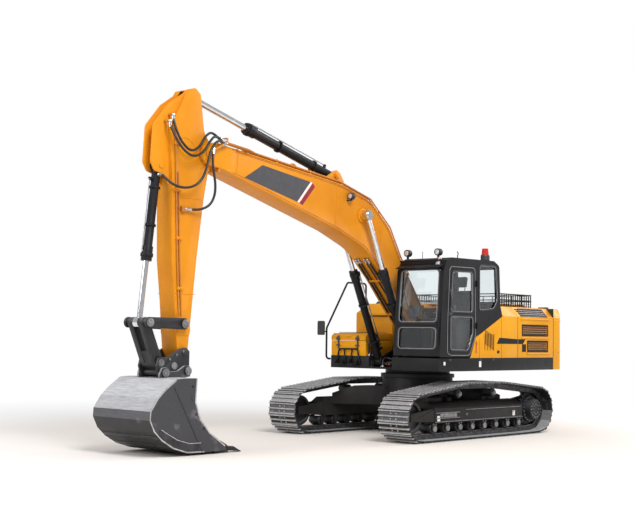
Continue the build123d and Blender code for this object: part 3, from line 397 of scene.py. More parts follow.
finishes = {
    # paint: color, deep tone, gloss, height of the dust, coat, dustiness, shine
    # plain: color, roughness, metal, grain, bump; worn and scoured: their tones, roughness, and metal or scale; the
    # scoured tones paint light and shade by which way a face points
    "boomPaint": (paint, (0.71, 0.262, 0.006), (0.61, 0.205, 0.004), 0.4, 1.2, 0.0, 0.16, 0.22),
    # pipe paint is the boom's paint darkened: painted shade on the pipes and the gaps along them
    "pipePaint": (paint, (0.56, 0.2, 0.018), (0.4, 0.13, 0.012), 0.36, 1.2, 0.1, 0.3),
    "panelPaint": (paint, (0.79, 0.345, 0.002), (0.7, 0.285, 0.001), 0.34, 1.2, 0.05, 0.14, 0.22),
    "blackPaint": (paint, (0.01, 0.01, 0.012), (0.005, 0.005, 0.006), 0.4, 1.6, 0.0, 0.07, 0.24),
    "hoseRubber": (plainSurface, (0.014, 0.014, 0.015), 0.42, 0.0, 900, 0.12),
    "zincPlate": (plainSurface, (0.62, 0.63, 0.66), 0.28, 1.0, 120, 0.06),
    "brightSteel": (wornSteel, (0.1, 0.1, 0.105), (0.52, 0.52, 0.53), (0.16, 0.13, 0.1), 0.42, 14, 0.8),
    "chainSteel": (wornSteel, (0.02, 0.02, 0.022), (0.16, 0.16, 0.165), (0.1, 0.08, 0.06), 0.5, 12, 0.7),
    "panelGrey": (plainSurface, (0.062, 0.06, 0.068), 0.38, 0.0, 260, 0.04),
    "stripePale": (plainSurface, (0.86, 0.85, 0.82), 0.35, 0.0, 260, 0.04),
    "stripeCrimson": (plainSurface, (0.27, 0.008, 0.028), 0.34, 0.0, 260, 0.04),
    "sealRubber": (plainSurface, (0.03, 0.03, 0.033), 0.5, 0.0, 600, 0.15),
    "sealPale": (plainSurface, (0.36, 0.36, 0.37), 0.32, 0.3, 300, 0.06),
    "lampGlass": (plainSurface, (0.72, 0.74, 0.76), 0.08, 0.4, 90, 0.25),
    "latchRed": (plainSurface, (0.62, 0.1, 0.02), 0.35, 0.0, 200, 0.05),
    "meshSteel": (plainSurface, (0.16, 0.16, 0.165), 0.45, 0.6, 300, 0.1),
    "vinylGrey": (plainSurface, (0.1, 0.1, 0.11), 0.6, 0.0, 500, 0.3),
    "bucketDark": (wornSteel, (0.022, 0.022, 0.026), (0.1, 0.1, 0.11), (0.07, 0.06, 0.05), 0.4, 6, 0.6),
    "railPaint": (paint, (0.045, 0.045, 0.048), (0.03, 0.03, 0.032), 0.4, 1.6, 0.15, 0.2),
    # track, bucket and link steel: side, top and deep tones that paint top light and underside shade
    "trackSteel": (scouredSteelPaintedToplight, (0.05, 0.05, 0.053), (0.62, 0.62, 0.63), (0.01, 0.009, 0.008), 0.44, 0.3, 11),
    "bucketSteel": (scouredSteelPaintedToplight, (0.05, 0.05, 0.058), (0.62, 0.62, 0.65), (0.012, 0.012, 0.014), 0.38, 0.12, 3.2),
    "linkSteel": (scouredSteelPaintedToplight, (0.03, 0.03, 0.033), (0.13, 0.13, 0.14), (0.014, 0.014, 0.015), 0.4, 0.4, 6),
    "grouserSteel": (wornSteel, (0.34, 0.34, 0.345), (0.8, 0.8, 0.81), (0.22, 0.18, 0.14), 0.36, 16, 0.75),
    "chromeRod": (plainSurface, (0.78, 0.79, 0.81), 0.12, 1.0, 60, 0.02),
    "seatCloth": (plainSurface, (0.035, 0.035, 0.04), 0.85, 0.0, 700, 0.4),
    "blackPlastic": (plainSurface, (0.03, 0.03, 0.032), 0.55, 0.0, 500, 0.25),
    "beaconRed": (plainSurface, (0.65, 0.02, 0.012), 0.15, 0.0, 40, 0.05),
    "paneGlass": (glassPane, (0.9, 0.94, 0.95)),
}
paints = {name: make(name, *values) for name, (make, *values) in finishes.items()}
print("materials made:", len(paints))

slotFinish = {"yellow_paint": "panelPaint", "black_paint": "blackPaint", "track_steel": "trackSteel",
              "bucket_steel": "bucketSteel", "chrome_rod": "chromeRod", "cab_glass": "paneGlass",
              "seat_fabric": "seatCloth", "black_plastic": "blackPlastic", "beacon_red": "beaconRed"}
nodeSlot = {entry["node"]: entry["material_slot"] for entry in record["subparts"]}
# the boom's and arm's pipes take the darkened pipe paint, a painted shade
nodeFinish = {"boom": "boomPaint", "arm": "boomPaint", "boom_pipes": "pipePaint", "arm_pipes": "pipePaint",
              "boom_bosses": "boomPaint",
              "rocker_links": "linkSteel", "h_link": "linkSteel", "quick_coupler": "linkSteel",
              "final_drives": "linkSteel",
              "idlers": "linkSteel", "track_rollers": "linkSteel", "carrier_rollers": "linkSteel",
              "bucket_teeth": "linkSteel"}


def finishNodes():
    for name, node in frame["nodes"].items():
        finish = nodeFinish.get(name, slotFinish[nodeSlot[name]])
        node.data.materials.clear()
        node.data.materials.append(paints[finish])
    print("nodes finished")


def softCopy(name, width, segments=2, crease=35):
    # a welded copy of a node with rounded edges stands for the plain one
    node = frame["nodes"][name]
    piece = node.copy()
    piece.data = node.data.copy()
    piece.parent = None
    bpy.context.collection.objects.link(piece)
    piece.name = name.replace("_", "") + "Skin"
    pickOnly(piece)
    bpy.ops.object.mode_set(mode="EDIT")
    bpy.ops.mesh.select_all(action="SELECT")
    bpy.ops.mesh.remove_doubles(threshold=0.0002)
    bpy.ops.mesh.dissolve_limited(angle_limit=radians(0.6))
    bpy.ops.object.mode_set(mode="OBJECT")
    smooth(soften(piece, width, segments, 28), crease)
    body = next(b for b, nodes in record["behaviour"]["bodies"].items() if name in nodes)
    return place(piece, body, node.data.materials[0], (name,))


cameraSettings = {"place": (14.87, 12.74, 1.607), "aim": (0.098, -0.666, 3.041), "roll": 0.8, "lens": 67.7}


def addCamera():
    clearPick()
    bpy.ops.object.camera_add(location=cameraSettings["place"])
    camera = bpy.context.object
    look = Vector(cameraSettings["aim"]) - Vector(cameraSettings["place"])
    camera.rotation_mode = "QUATERNION"
    camera.rotation_quaternion = look.to_track_quat("-Z", "Y") @ Quaternion((0, 0, 1), radians(cameraSettings["roll"]))
    camera.data.lens = cameraSettings["lens"]
    camera.data.sensor_width = 36
    camera.data.clip_end = 400
    bpy.context.scene.camera = camera


lamps = {
    # name: place, aim, size, watts
    "keySoftbox": ((7.0, 12.0, 14.0), (0.0, 0.0, 1.6), 7.0, 2350),
    "frontSoftbox": ((15.0, -4.0, 8.0), (2.0, 0.0, 1.5), 7.0, 700),
    "rearSoftbox": ((-12.0, 4.0, 9.0), (0.0, 0.0, 1.5), 7.0, 700),
}


airSettings = {"color": (0.97, 0.98, 1.0), "strength": 0.55}


def addLights():
    for name, (spot, aim, size, watts) in lamps.items():
        clearPick()
        bpy.ops.object.light_add(type="AREA", location=spot)
        lamp = bpy.context.object
        lamp.name = name
        lamp.data.size = size
        lamp.data.energy = watts
        lamp.rotation_mode = "QUATERNION"
        lamp.rotation_quaternion = (Vector(aim) - Vector(spot)).to_track_quat("-Z", "Y")
    world = bpy.data.worlds.new("studioAir")
    bpy.context.scene.world = world
    world.use_nodes = True
    tree = world.node_tree
    back = tree.nodes["Background"]
    setInputs(back, {"Color": (*airSettings["color"], 1), "Strength": airSettings["strength"]})
    white = addNode(tree, "Background", {"Color": (1, 1, 1, 1), "Strength": 1.0})
    path = tree.nodes.new("ShaderNodeLightPath")
    mix = tree.nodes.new("ShaderNodeMixShader")
    seen = product(tree, path.outputs["Is Camera Ray"], path.outputs["Is Transmission Ray"], "MAXIMUM")
    tree.links.new(seen, mix.inputs["Fac"])
    tree.links.new(back.outputs["Background"], mix.inputs[1])
    tree.links.new(white.outputs["Background"], mix.inputs[2])
    tree.links.new(mix.outputs["Shader"], tree.nodes["World Output"].inputs["Surface"])


# the floor turns pale, then white, between two distances from the machine
floorSettings = {"size": 160.0, "color": (0.84, 0.79, 0.74), "paleFrom": (4.0, 10.0), "whiteFrom": (6.0, 12.0)}


def addFloor():
    clearPick()
    bpy.ops.mesh.primitive_plane_add(size=floorSettings["size"], location=(0, 0, -0.001))
    floor = bpy.context.object
    floor.name = "paleFloor"
    material, tree, shader, coords = newMaterial("paleFloor")
    spread = tree.nodes.new("ShaderNodeVectorMath")
    spread.operation = "LENGTH"
    tree.links.new(coords, spread.inputs[0])
    near = rangeOf(tree, spread.outputs["Value"], *floorSettings["paleFrom"])
    tree.links.new(mixOf(tree, near, floorSettings["color"], (1.0, 1.0, 1.0)), shader.inputs["Base Color"])
    setInputs(shader, {"Roughness": 0.9})
    glow = addNode(tree, "Emission", {"Color": (1, 1, 1, 1)})
    mix = tree.nodes.new("ShaderNodeMixShader")
    path = tree.nodes.new("ShaderNodeLightPath")
    far = rangeOf(tree, spread.outputs["Value"], *floorSettings["whiteFrom"])
    seen = product(tree, path.outputs["Is Camera Ray"], path.outputs["Is Glossy Ray"], "MAXIMUM")
    tree.links.new(product(tree, far, seen), mix.inputs["Fac"])
    tree.links.new(shader.outputs["BSDF"], mix.inputs[1])
    tree.links.new(glow.outputs["Emission"], mix.inputs[2])
    tree.links.new(mix.outputs["Shader"], tree.nodes["Material Output"].inputs["Surface"])
    floor.data.materials.append(material)


hoses = {
    # the same routes as in the part's source, in metres from the swing axis; body and the blend's two ends
    "upper_hose": {"route": ((4.972, 0.19, 4.436), (5.14, 0.203, 4.558), (5.325, 0.243, 4.46), (5.45, 0.27, 4.28),
                             (5.62, 0.28, 4.19), (5.79, 0.275, 4.3), (5.875, 0.24, 4.48), (5.885, 0.178, 4.66)),
                   "across": ((5.14, 0.2, 4.5), (5.72, 0.2, 4.24))},
    "outer_hose": {"route": ((4.972, 0.23, 4.436), (5.13, 0.254, 4.5), (5.285, 0.302, 4.385), (5.415, 0.315, 4.205),
                             (5.605, 0.325, 4.11), (5.795, 0.315, 4.19), (5.915, 0.275, 4.37), (5.956, 0.196, 4.56)),
                   "across": ((5.14, 0.2, 4.45), (5.72, 0.2, 4.15))},
    "bucket_hose": {"route": ((4.972, 0.27, 4.436), (5.12, 0.3, 4.42), (5.258, 0.334, 4.318), (5.335, 0.35, 4.16),
                              (5.385, 0.35, 3.985), (5.44, 0.33, 3.815), (5.58, 0.3, 3.695), (5.77, 0.265, 3.665),
                              (5.93, 0.21, 3.72), (6.015, 0.136, 3.835)),
                    "across": ((5.26, 0.3, 4.36), (5.55, 0.3, 3.72))},
    "arm_hose": {"route": ((5.205, 0.286, 4.246), (5.238, 0.312, 4.095), (5.218, 0.322, 3.935), (5.178, 0.318, 3.775),
                           (5.172, 0.302, 3.615), (5.235, 0.28, 3.475), (5.372, 0.25, 3.4), (5.52, 0.215, 3.385),
                           (5.608, 0.19, 3.385)),
                 "across": ((5.2, 0.3, 4.2), (5.35, 0.3, 3.45))},
    "far_hose": {"route": ((5.937, -0.2, 4.5), (6.005, -0.235, 4.385), (6.028, -0.245, 4.245), (5.996, -0.235, 4.115),
                           (5.927, -0.2, 4.03)),
                 "across": None},
}
hoseSize = {"diameter": 0.036, "sides": 5}


def addHoses():
    for name, plan in hoses.items():
        spots = [at(*spot) for spot in plan["route"]]
        curve = bpy.data.curves.new(name + "Line", "CURVE")
        curve.dimensions = "3D"
        curve.resolution_u = 10
        spline = curve.splines.new("NURBS")
        spline.points.add(len(spots) - 1)
        for point, spot in zip(spline.points, spots):
            point.co = (*spot, 1)
        spline.order_u = 3
        spline.use_endpoint_u = True
        piece = bpy.data.objects.new(name.replace("_h", "H") + "Rubber", curve)
        bpy.context.collection.objects.link(piece)
        line = bpy.data.meshes.new_from_object(piece)
        bpy.data.meshes.remove(line)
        curve.bevel_depth = hoseSize["diameter"] / 2
        curve.bevel_resolution = hoseSize["sides"]
        curve.use_fill_caps = True
        pickOnly(piece)
        bpy.ops.object.convert(target="MESH")
        piece = smooth(bpy.context.object, 60)
        piece.data.materials.clear()
        piece.data.materials.append(paints["hoseRubber"])
        if plan["across"]:
            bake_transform(piece)
        else:
            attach(piece, "arm")
        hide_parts(name)
    print("hoses laid")


hoseEnds = {
    # crimped sleeves with a nut, as body: (start, end) in metres from the swing axis
    "boom": (((4.955, 0.19, 4.424), (5.04, 0.1965, 4.486)), ((4.955, 0.23, 4.43), (5.04, 0.242, 4.464)),
             ((4.955, 0.27, 4.436), (5.045, 0.2845, 4.43)), ((5.188, 0.28, 4.3), (5.212, 0.292, 4.205)),
             ((4.95, 0.278, 4.4), (5.02, 0.279, 4.349))),
    "arm": (((5.885, 0.19, 4.7), (5.884, 0.182, 4.6)), ((5.958, 0.206, 4.6), (5.952, 0.21, 4.5)),
            ((5.625, 0.186, 3.385), (5.53, 0.212, 3.385)), ((5.933, -0.199, 4.515), (5.958, -0.208, 4.455)),
            ((5.924, -0.199, 4.015), (5.95, -0.209, 4.068))),
    "bucket_barrel": (((6.02, 0.062, 3.842), (6.018, 0.136, 3.838)),),
}


def addHoseEnds():
    for body, runs in hoseEnds.items():
        pieces = []
        for start, end in runs:
            start, end = at(*start), at(*end)
            run = end - start
            pieces.append(soften(addRound("sleeve", start, end, 0.0215, 20), 0.002, 1))
            pieces.append(soften(addRound("nut", start - run * 0.02, start + run * 0.3, 0.028, 6), 0.002, 1))
        fit(body.replace("_b", "B") + "HoseEnds", pieces, body, "zincPlate")
    print("hose ends fitted")


softNodes = {
    # node: width of the rounded edges, in metres
    "counterweight": 0.022, "hood": 0.006, "left_front_panel": 0.006, "left_rear_door": 0.004, "right_rear_door": 0.006,
    "right_tanks": 0.016, "toolbox": 0.008, "toolbox_lid": 0.008, "house_frame": 0.006, "boom": 0.004, "arm": 0.004,
    "rocker_links": 0.008, "h_link": 0.007, "quick_coupler": 0.006, "bucket": 0.004, "bucket_teeth": 0.006,
    "carbody": 0.008, "track_frame_left": 0.006, "track_frame_right": 0.006, "final_drives": 0.005, "idlers": 0.008,
    "track_rollers": 0.012, "carrier_rollers": 0.008, "boom_cylinder_barrels": 0.005, "arm_cylinder_barrel": 0.005,
    "bucket_cylinder_barrel": 0.005, "boom_bosses": 0.006, "control_valve": 0.01, "swing_motor": 0.008,
    "engine_block": 0.03, "roof_lights": 0.006, "right_mirror": 0.006, "boom_lamp": 0.004, "seat_base": 0.01,
    "cab_controls": 0.008,
}


softCreases = {"bucket": 9, "bucket_teeth": 20}      # nodes whose folded facets stay crisp, in degrees


def softenNodes():
    for name, width in softNodes.items():
        softCopy(name, width, 2, softCreases.get(name, 35))
    print("edges rounded:", len(softNodes))


shoeLoop = {
    # circles that the shoes' joints run round, as x, z, radius, clockwise from the front carrier roller
    "rounds": ((0.56, 0.73, 0.157), (1.812, 0.388, 0.35), (-1.15, 0.196, 0.158), (-1.64, 0.412, 0.362),
               (-0.44, 0.73, 0.157)),
    "count": 49, "trackY": 1.19, "plate": 0.012, "rib": 0.038, "ribShares": (0.06, 0.5, 0.94), "ribHalf": 0.296,
    "boltRadius": 0.013, "boltHeight": 0.011,
    "boltSpots": ((0.27, -0.055), (0.27, 0.055), (0.72, -0.055), (0.72, 0.055)),
}


def shoePlaces():
    # start, end and outward direction of each shoe, in x and z
    rounds = shoeLoop["rounds"]
    count = len(rounds)
    touches = []
    for n in range(count):
        x1, z1, r1 = rounds[n]
        x2, z2, r2 = rounds[(n + 1) % count]
        run = Vector((x2 - x1, z2 - z1))
        lean = (r1 - r2) / run.length
        run.normalize()
        out = Vector((-run.y, run.x)) * (1 - lean ** 2) ** 0.5 + run * lean
        touches.append((Vector((x1, z1)) + out * r1, Vector((x2, z2)) + out * r2, out))
    legs = []
    for n in range(count):
        x, z, r = rounds[n]
        before, after = touches[n - 1][2], touches[n][2]
        a0, a1 = atan2(before.y, before.x), atan2(after.y, after.x)
        while a1 > a0:
            a1 -= 2 * pi
        legs.append((r * (a0 - a1), lambda s, x=x, z=z, r=r, a=a0: Vector((x + r * cos(a - s / r),
                                                                           z + r * sin(a - s / r)))))
        first, last = touches[n][0], touches[n][1]
        length = (last - first).length
        legs.append((length, lambda s, p=first, q=last, length=length: p.lerp(q, s / length)))
    total = sum(leg[0] for leg in legs)

    def spotAt(s):
        for length, where in legs:
            if s <= length:
                return where(s)
            s -= length
        return legs[0][1](0)

    joints = [spotAt(total * n / shoeLoop["count"]) for n in range(shoeLoop["count"])]
    places = []
    for n, a in enumerate(joints):
        b = joints[(n + 1) % len(joints)]
        run = (b - a).normalized()
        places.append((a, b, Vector((-run.y, run.x))))
    return places


def linkTurn(out):
    # turns a piece modelled upright so that its top faces outwards
    return Quaternion((0, 1, 0), atan2(out.x, out.y))


def shoeWear(pitch):
    # what the ground keeps bright on a shoe: the grousers' tips, and its bolts' heads
    half, rib = shoeLoop["ribHalf"], shoeLoop["rib"]
    pieces = []
    for share in shoeLoop["ribShares"]:
        x = share * pitch
        tip = addBlock("tip", (x - 0.0095, -half, rib - 0.011), (x + 0.0095, half, rib + 0.0012))
        pieces.append(soften(tip, 0.004, 1))
    spots = [Vector((share * pitch, offset, shoeLoop["plate"])) for share, offset in shoeLoop["boltSpots"]]
    pieces.append(addBolts("heads", spots, (0, 0, 1), shoeLoop["boltRadius"], shoeLoop["boltHeight"]))
    return joined("shoeWear", pieces)


def addTrackDetail():
    places = shoePlaces()
    pitch = (places[0][1] - places[0][0]).length
    wear, link = shoeWear(pitch), chainLink(pitch)
    for side, y in (("left", shoeLoop["trackY"]), ("right", -shoeLoop["trackY"])):
        tips, links = [], []
        for a, b, out in places:
            turn = linkTurn(out)
            tips.append(copyOf(wear, at(a.x, y, a.y), turn))
            links.append(copyOf(link, at(a.x, y, a.y), turn))
        fit(side + "GrouserTips", tips, "undercarriage", "grouserSteel")
        fit(side + "ChainLinks", links, "undercarriage", "chainSteel")
    bpy.data.objects.remove(wear)
    bpy.data.objects.remove(link)
    print("track detail added")


chainSettings = {
    "side": 0.09, "thick": 0.012, "pinRadius": 0.021, "pinReach": 0.106, "pinDepth": 0.034,
    # outline of a link's cheek as shares of the pitch, and depth below the shoe
    "cheek": ((0.1, -0.004), (0.9, -0.004), (1.06, -0.03), (1.02, -0.058), (0.84, -0.07), (0.62, -0.052),
              (0.38, -0.052),
              (0.2, -0.07), (-0.02, -0.058), (-0.06, -0.03)),
}


def chainLink(pitch):
    # two cheeks and a pin, modelled with the joint at the origin and the shoe above
    pieces = []
    for sign in (1, -1):
        y0 = sign * chainSettings["side"]
        spots = [Vector((share * pitch, y0, depth)) for share, depth in chainSettings["cheek"]]
        pieces.append(addPanel("cheek", spots, (0, sign * chainSettings["thick"], 0)))
    reach, depth = chainSettings["pinReach"], chainSettings["pinDepth"]
    pieces.append(addRound("pin", (0, -reach, -depth), (0, reach, -depth), chainSettings["pinRadius"], 12))
    return joined("link", pieces)


frameTrim = {
    # distances across count outwards from the middle of a track
    "rollerX": [-1.15 + 0.348 * n for n in range(8)], "rollerZ": 0.196, "rollerOut": 0.134,
    "carrierX": (-0.44, 0.56), "carrierZ": 0.73, "carrierOut": 0.09,
    "idler": (1.812, 0.388), "idlerOut": 0.108, "drive": (-1.64, 0.412), "driveOut": 0.178, "toothOut": 0.066,
    # bolt circles of the drive: radius, count
    "driveRings": ((0.145, 16), (0.085, 8)), "toothRing": (0.206, 20), "face": 0.15,
    # ledge rails on the outer face, their bright steel a painted highlight along the frame's edges: x0, x1, z0, z1,
    # reach
    "rails": ((-1.25, 1.29, 0.293, 0.309, 0.016), (-1.2, 0.45, 0.47, 0.482, 0.01),
              (0.62, 1.27, 0.436, 0.45, 0.012), (0.62, 1.27, 0.352, 0.364, 0.012)),
    "cover": ((0.7, 0.37), (1.16, 0.37), (1.16, 0.432), (0.7, 0.432)), "holes": ((-0.95, 0.4), (0.42, 0.4)),
    "marks": ((1.155, 0.312), (-1.02, 0.326)),
}


def capAt(spot, sign, reach, radius, sides, width, tip=None):
    end = spot + Vector((0, sign * reach, 0))
    return soften(addRound("cap", spot, end, radius, sides, tip), width, 2)


def addFrameTrim():
    for sign, side in ((1, "left"), (-1, "right")):
        def out(x, z, reach):
            return at(x, sign * (shoeLoop["trackY"] + reach), z)

        caps, bolts, trims = [], [], []
        for x in frameTrim["rollerX"]:
            caps.append(capAt(out(x, frameTrim["rollerZ"], frameTrim["rollerOut"]), sign, 0.02, 0.05, 24, 0.005))
            for ahead in (-0.032, 0.032):
                bolts.append(out(x + ahead, frameTrim["rollerZ"] + 0.07, frameTrim["rollerOut"]))
        for x in frameTrim["carrierX"]:
            spot = out(x, frameTrim["carrierZ"], frameTrim["carrierOut"])
            caps.append(capAt(spot, sign, 0.035, 0.046, 24, 0.004, 0.036))
            bolts.append(spot + Vector((0, sign * 0.035, 0)))
        caps.append(capAt(out(*frameTrim["idler"], frameTrim["idlerOut"]), sign, 0.028, 0.06, 28, 0.006))
        fit(side + "RollerCaps", caps, "undercarriage", "brightSteel")
        driveX, driveZ = frameTrim["drive"]
        rings = [(*ring, 0.0, frameTrim["driveOut"]) for ring in frameTrim["driveRings"]]
        for radius, count, offset, reach in rings + [(*frameTrim["toothRing"], 0.5, frameTrim["toothOut"])]:
            for n in range(count):
                turn = 2 * pi * (n + offset) / count
                bolts.append(out(driveX + radius * cos(turn), driveZ + radius * sin(turn), reach))
        heads = addBolts("bolts", bolts, (0, sign, 0), 0.0135, 0.014)
        fit(side + "DriveBolts", [heads], "undercarriage", "brightSteel")
        # long rails on the track frame's outer face, whose bright steel paints the highlight along its ledges, a cover
        # plate, two tie-down holes' rims and two blank marks
        y = sign * (shoeLoop["trackY"] + frameTrim["face"])
        for x0, x1, z0, z1, reach in frameTrim["rails"]:
            corners = ((x0, z0), (x1, z0), (x1, z1), (x0, z1))
            trims.append(soften(addSide("rail", corners, y, y + sign * reach), 0.003, 2))
        trims.append(soften(addSide("cover", rounded(frameTrim["cover"], 0.012), y, y + sign * 0.008), 0.002, 1))
        for x, z in frameTrim["holes"]:
            hole = [(x + 0.03 * cos(2 * pi * n / 20), z + 0.018 * sin(2 * pi * n / 20)) for n in range(20)]
            trims.append(addSide("holeRim", hole, y, y + sign * 0.007, 0.007))
        fit(side + "FrameTrim", trims, "undercarriage", "brightSteel")
        marks = [softBlock("mark", (x, y, z), (x + 0.075, y + sign * 0.003, z + 0.085), 0.002, 1)
                 for x, z in frameTrim["marks"]]
        fit(side + "BlankMarks", marks, "undercarriage", "stripePale")
    print("track frames trimmed")


boomPanel = {
    # outlines on the boom's left side, as x and z
    "y": 0.208, "thick": 0.0025,
    "dark": ((4.126, 4.183), (3.061, 4.042), (3.36, 3.703), (4.499, 3.955)),
    "pale": ((3.056, 4.0415), (3.014, 4.036), (3.314, 3.692), (3.355, 3.702)),
    "crimson": ((3.006, 4.03), (2.955, 3.974), (3.236, 3.664), (3.306, 3.687)),
}


def addBoomPanel():
    for shape, finish in (("dark", "panelGrey"), ("pale", "stripePale"), ("crimson", "stripeCrimson")):
        for sign in (1, -1):
            y = sign * boomPanel["y"]
            piece = addSide(shape, boomPanel[shape], y, y + sign * boomPanel["thick"])
            side = "left" if sign > 0 else "right"
            place(soften(piece, 0.0008, 1), "boom",
                  paints[finish]).name = side + shape.title() + "Panel"
    print("boom panels set")


def pinCap(spot, facing, radius, bolts, pieces, heads):
    # a turned collar, a cap and its ring of bolts on a pin's end
    spot, facing = Vector(spot), Vector(facing)
    pieces.append(soften(addRound("collar", spot, spot + facing * 0.012, radius, 40), 0.003, 2))
    pieces.append(soften(addRound("cap", spot, spot + facing * 0.022, radius * 0.72, 36), 0.004, 2))
    across = facing.orthogonal().normalized()
    for n in range(bolts):
        turn = Quaternion(facing, 2 * pi * (n + 0.5) / bolts)
        heads.append(spot + facing * 0.022 + turn @ across * radius * 0.45)


pinEnds = {
    # body: x, z, half width, cap radius, bolts
    "boom": ((5.21, 4.23, 0.23, 0.078, 4), (1.8, 3.62, 0.268, 0.085, 3), (2.34, 4.225, 0.126, 0.05, 0)),
    "arm": ((5.59, 1.37, 0.16, 0.066, 3), (5.45, 5.04, 0.13, 0.055, 0)),
    "rocker": ((5.64, 1.78, 0.2625, 0.062, 3), (6.25, 1.79, 0.24, 0.06, 3)),
    "bucket": ((5.57, 1.13, 0.262, 0.058, 3), (5.975, 1.105, 0.262, 0.058, 3)),
    "h_link": ((6.01, 1.24, 0.2, 0.05, 0),),
}


def addPinEnds():
    for body, ends in pinEnds.items():
        pieces, heads = [], []
        for x, z, half, radius, bolts in ends:
            for sign in (1, -1):
                pinCap(at(x, sign * (half - 0.001), z), (0, sign, 0), radius, bolts, pieces, heads)
        if heads:
            for sign in (1, -1):
                spots = [spot for spot in heads if spot.y * sign > 0]
                pieces.append(addBolts("heads", spots, (0, sign, 0), 0.011, 0.01))
        dark = body in ("rocker", "bucket", "h_link")
        piece = joined(body.replace("_l", "L") + "PinEnds", pieces)
        place(piece, body, paints["brightSteel" if dark else "boomPaint"])
    print("pin ends fitted")


glands = {
    # body of the barrel: eye of the barrel, eye of the rod, reach of the gland from it, radius, y
    "arm_barrel": ((2.34, 4.225), (5.45, 5.04), 2.045, 0.088, (0,)),
    "bucket_barrel": ((6.0, 3.97), (6.25, 1.79), 1.335, 0.076, (0,)),
    "boom_barrels": ((0.66, 1.22), (1.8, 3.62), 1.7, 0.092, (0.305, -0.305)),
}


def addGlands():
    for body, (foot, eye, reach, radius, lanes) in glands.items():
        pieces, pipes = [], []
        for y in lanes:
            start, end = at(foot[0], y, foot[1]), at(eye[0], y, eye[1])
            run = (end - start).normalized()
            collar = start + run * (reach - 0.1)
            proud = 0.012 if len(lanes) == 1 else 0.0008     # the boom's two run close to its sides
            pieces.append(soften(addRound("collar", collar, collar + run * 0.05, radius + proud, 36), 0.004, 2))
            across = run.orthogonal().normalized()
            spots = [collar + run * 0.05 + Quaternion(run, 2 * pi * n / 8) @ across * (radius - 0.014)
                     for n in range(8)]
            pieces.append(addBolts("glandBolts", spots, run, 0.012, 0.012))
            for share in (0.22, 0.62):
                band = start + run * reach * share
                pieces.append(soften(addRound("band", band, band + run * 0.03, radius + proud * 0.4, 36), 0.002, 1))
            # an oil port, its elbow and the pipe along the barrel
            side = Vector((0, 1, 0)) if len(lanes) == 1 else Vector((0, 1 if y > 0 else -1, 0))
            lift = run.cross(side).normalized()
            lift = lift if lift.z > 0 or body == "bucket_barrel" else -lift
            port = start + run * 0.2 + lift * (radius - 0.01)
            pieces.append(soften(addRound("port", port, port + lift * 0.05, 0.026, 16), 0.003, 1))
            top = port + lift * 0.042
            last = collar - run * 0.02 + lift * (radius + 0.02)
            pipes.append(addTube("pipe", (top, top + run * 0.06, last - run * 0.05, last, last - lift * 0.04), 0.0115,
                                 3))
        fit(body.replace("_b", "B") + "Trim", pieces, body, "blackPaint")
        fit(body.replace("_b", "B") + "Pipes", pipes, body, "zincPlate")
    print("cylinders trimmed")


boomEdges = {
    "top": ((0.8, 2.99), (1.09, 3.46), (1.6, 3.88), (2.35, 4.085), (4.28, 4.303), (4.96, 4.379)),
    "low": ((1.16, 2.61), (1.7, 3.085), (2.4, 3.345), (3.68, 3.69), (4.96, 4.034)),
}


def besideLine(points, drop):
    # the line moved to its right by a distance
    moved = []
    for n, (x, z) in enumerate(points):
        before, after = points[max(n - 1, 0)], points[min(n + 1, len(points) - 1)]
        length = hypot(after[0] - before[0], after[1] - before[1])
        moved.append((x + (after[1] - before[1]) / length * drop, z - (after[0] - before[0]) / length * drop))
    return moved


boomTrim = {
    # weld seams up the sides as x, low and high; clamps along the pipes as x and z; the lifting lugs' rod
    "seams": ((4.66, 3.985, 4.335), (2.46, 3.38, 4.085), (1.33, 2.82, 3.62)), "seamY": 0.209,
    "clamps": ((1.35, 3.7), (2.3, 4.095), (3.05, 4.19), (3.8, 4.275), (4.45, 4.35)), "slopes": (0.6, 0.115),
    "lug": ((3.3, 4.16), (3.33, 4.27), (3.42, 4.3), (3.5, 4.24), (3.52, 4.19)), "lugY": (0.15, -0.15),
}
armTrim = {
    # the arched plate's weld, seams as z, x0 and x1, a plate, and clips up the front as z
    "arch": ((5.33, 4.05), (5.42, 4.3), (5.6, 4.42), (5.78, 4.36), (5.86, 4.12), (5.86, 3.72)), "side": 0.1605,
    "seams": ((3.55, 5.3, 5.88), (2.2, 5.38, 5.79)), "clips": (4.28, 3.62, 2.95, 2.25),
    "plate": ((5.47, 1.98), (5.72, 1.98), (5.72, 1.62), (5.47, 1.62)),
}


def addPipeClamp(x, z):
    tilt = boomTrim["slopes"][x > 2]
    ahead, up = Vector((cos(tilt), 0, sin(tilt))), Vector((-sin(tilt), 0, cos(tilt)))
    near, far = [at(x, y, z) - ahead * 0.02 - up * 0.035 for y in (0.1, 0.2)]
    bar = soften(addPanel("clamp", [near, far, far + up * 0.068, near + up * 0.068], ahead * 0.04), 0.005, 2)
    return [bar, addBolts("bolts", [at(x, y, z) + up * 0.033 for y in (0.144, 0.186)], up, 0.009, 0.01)]


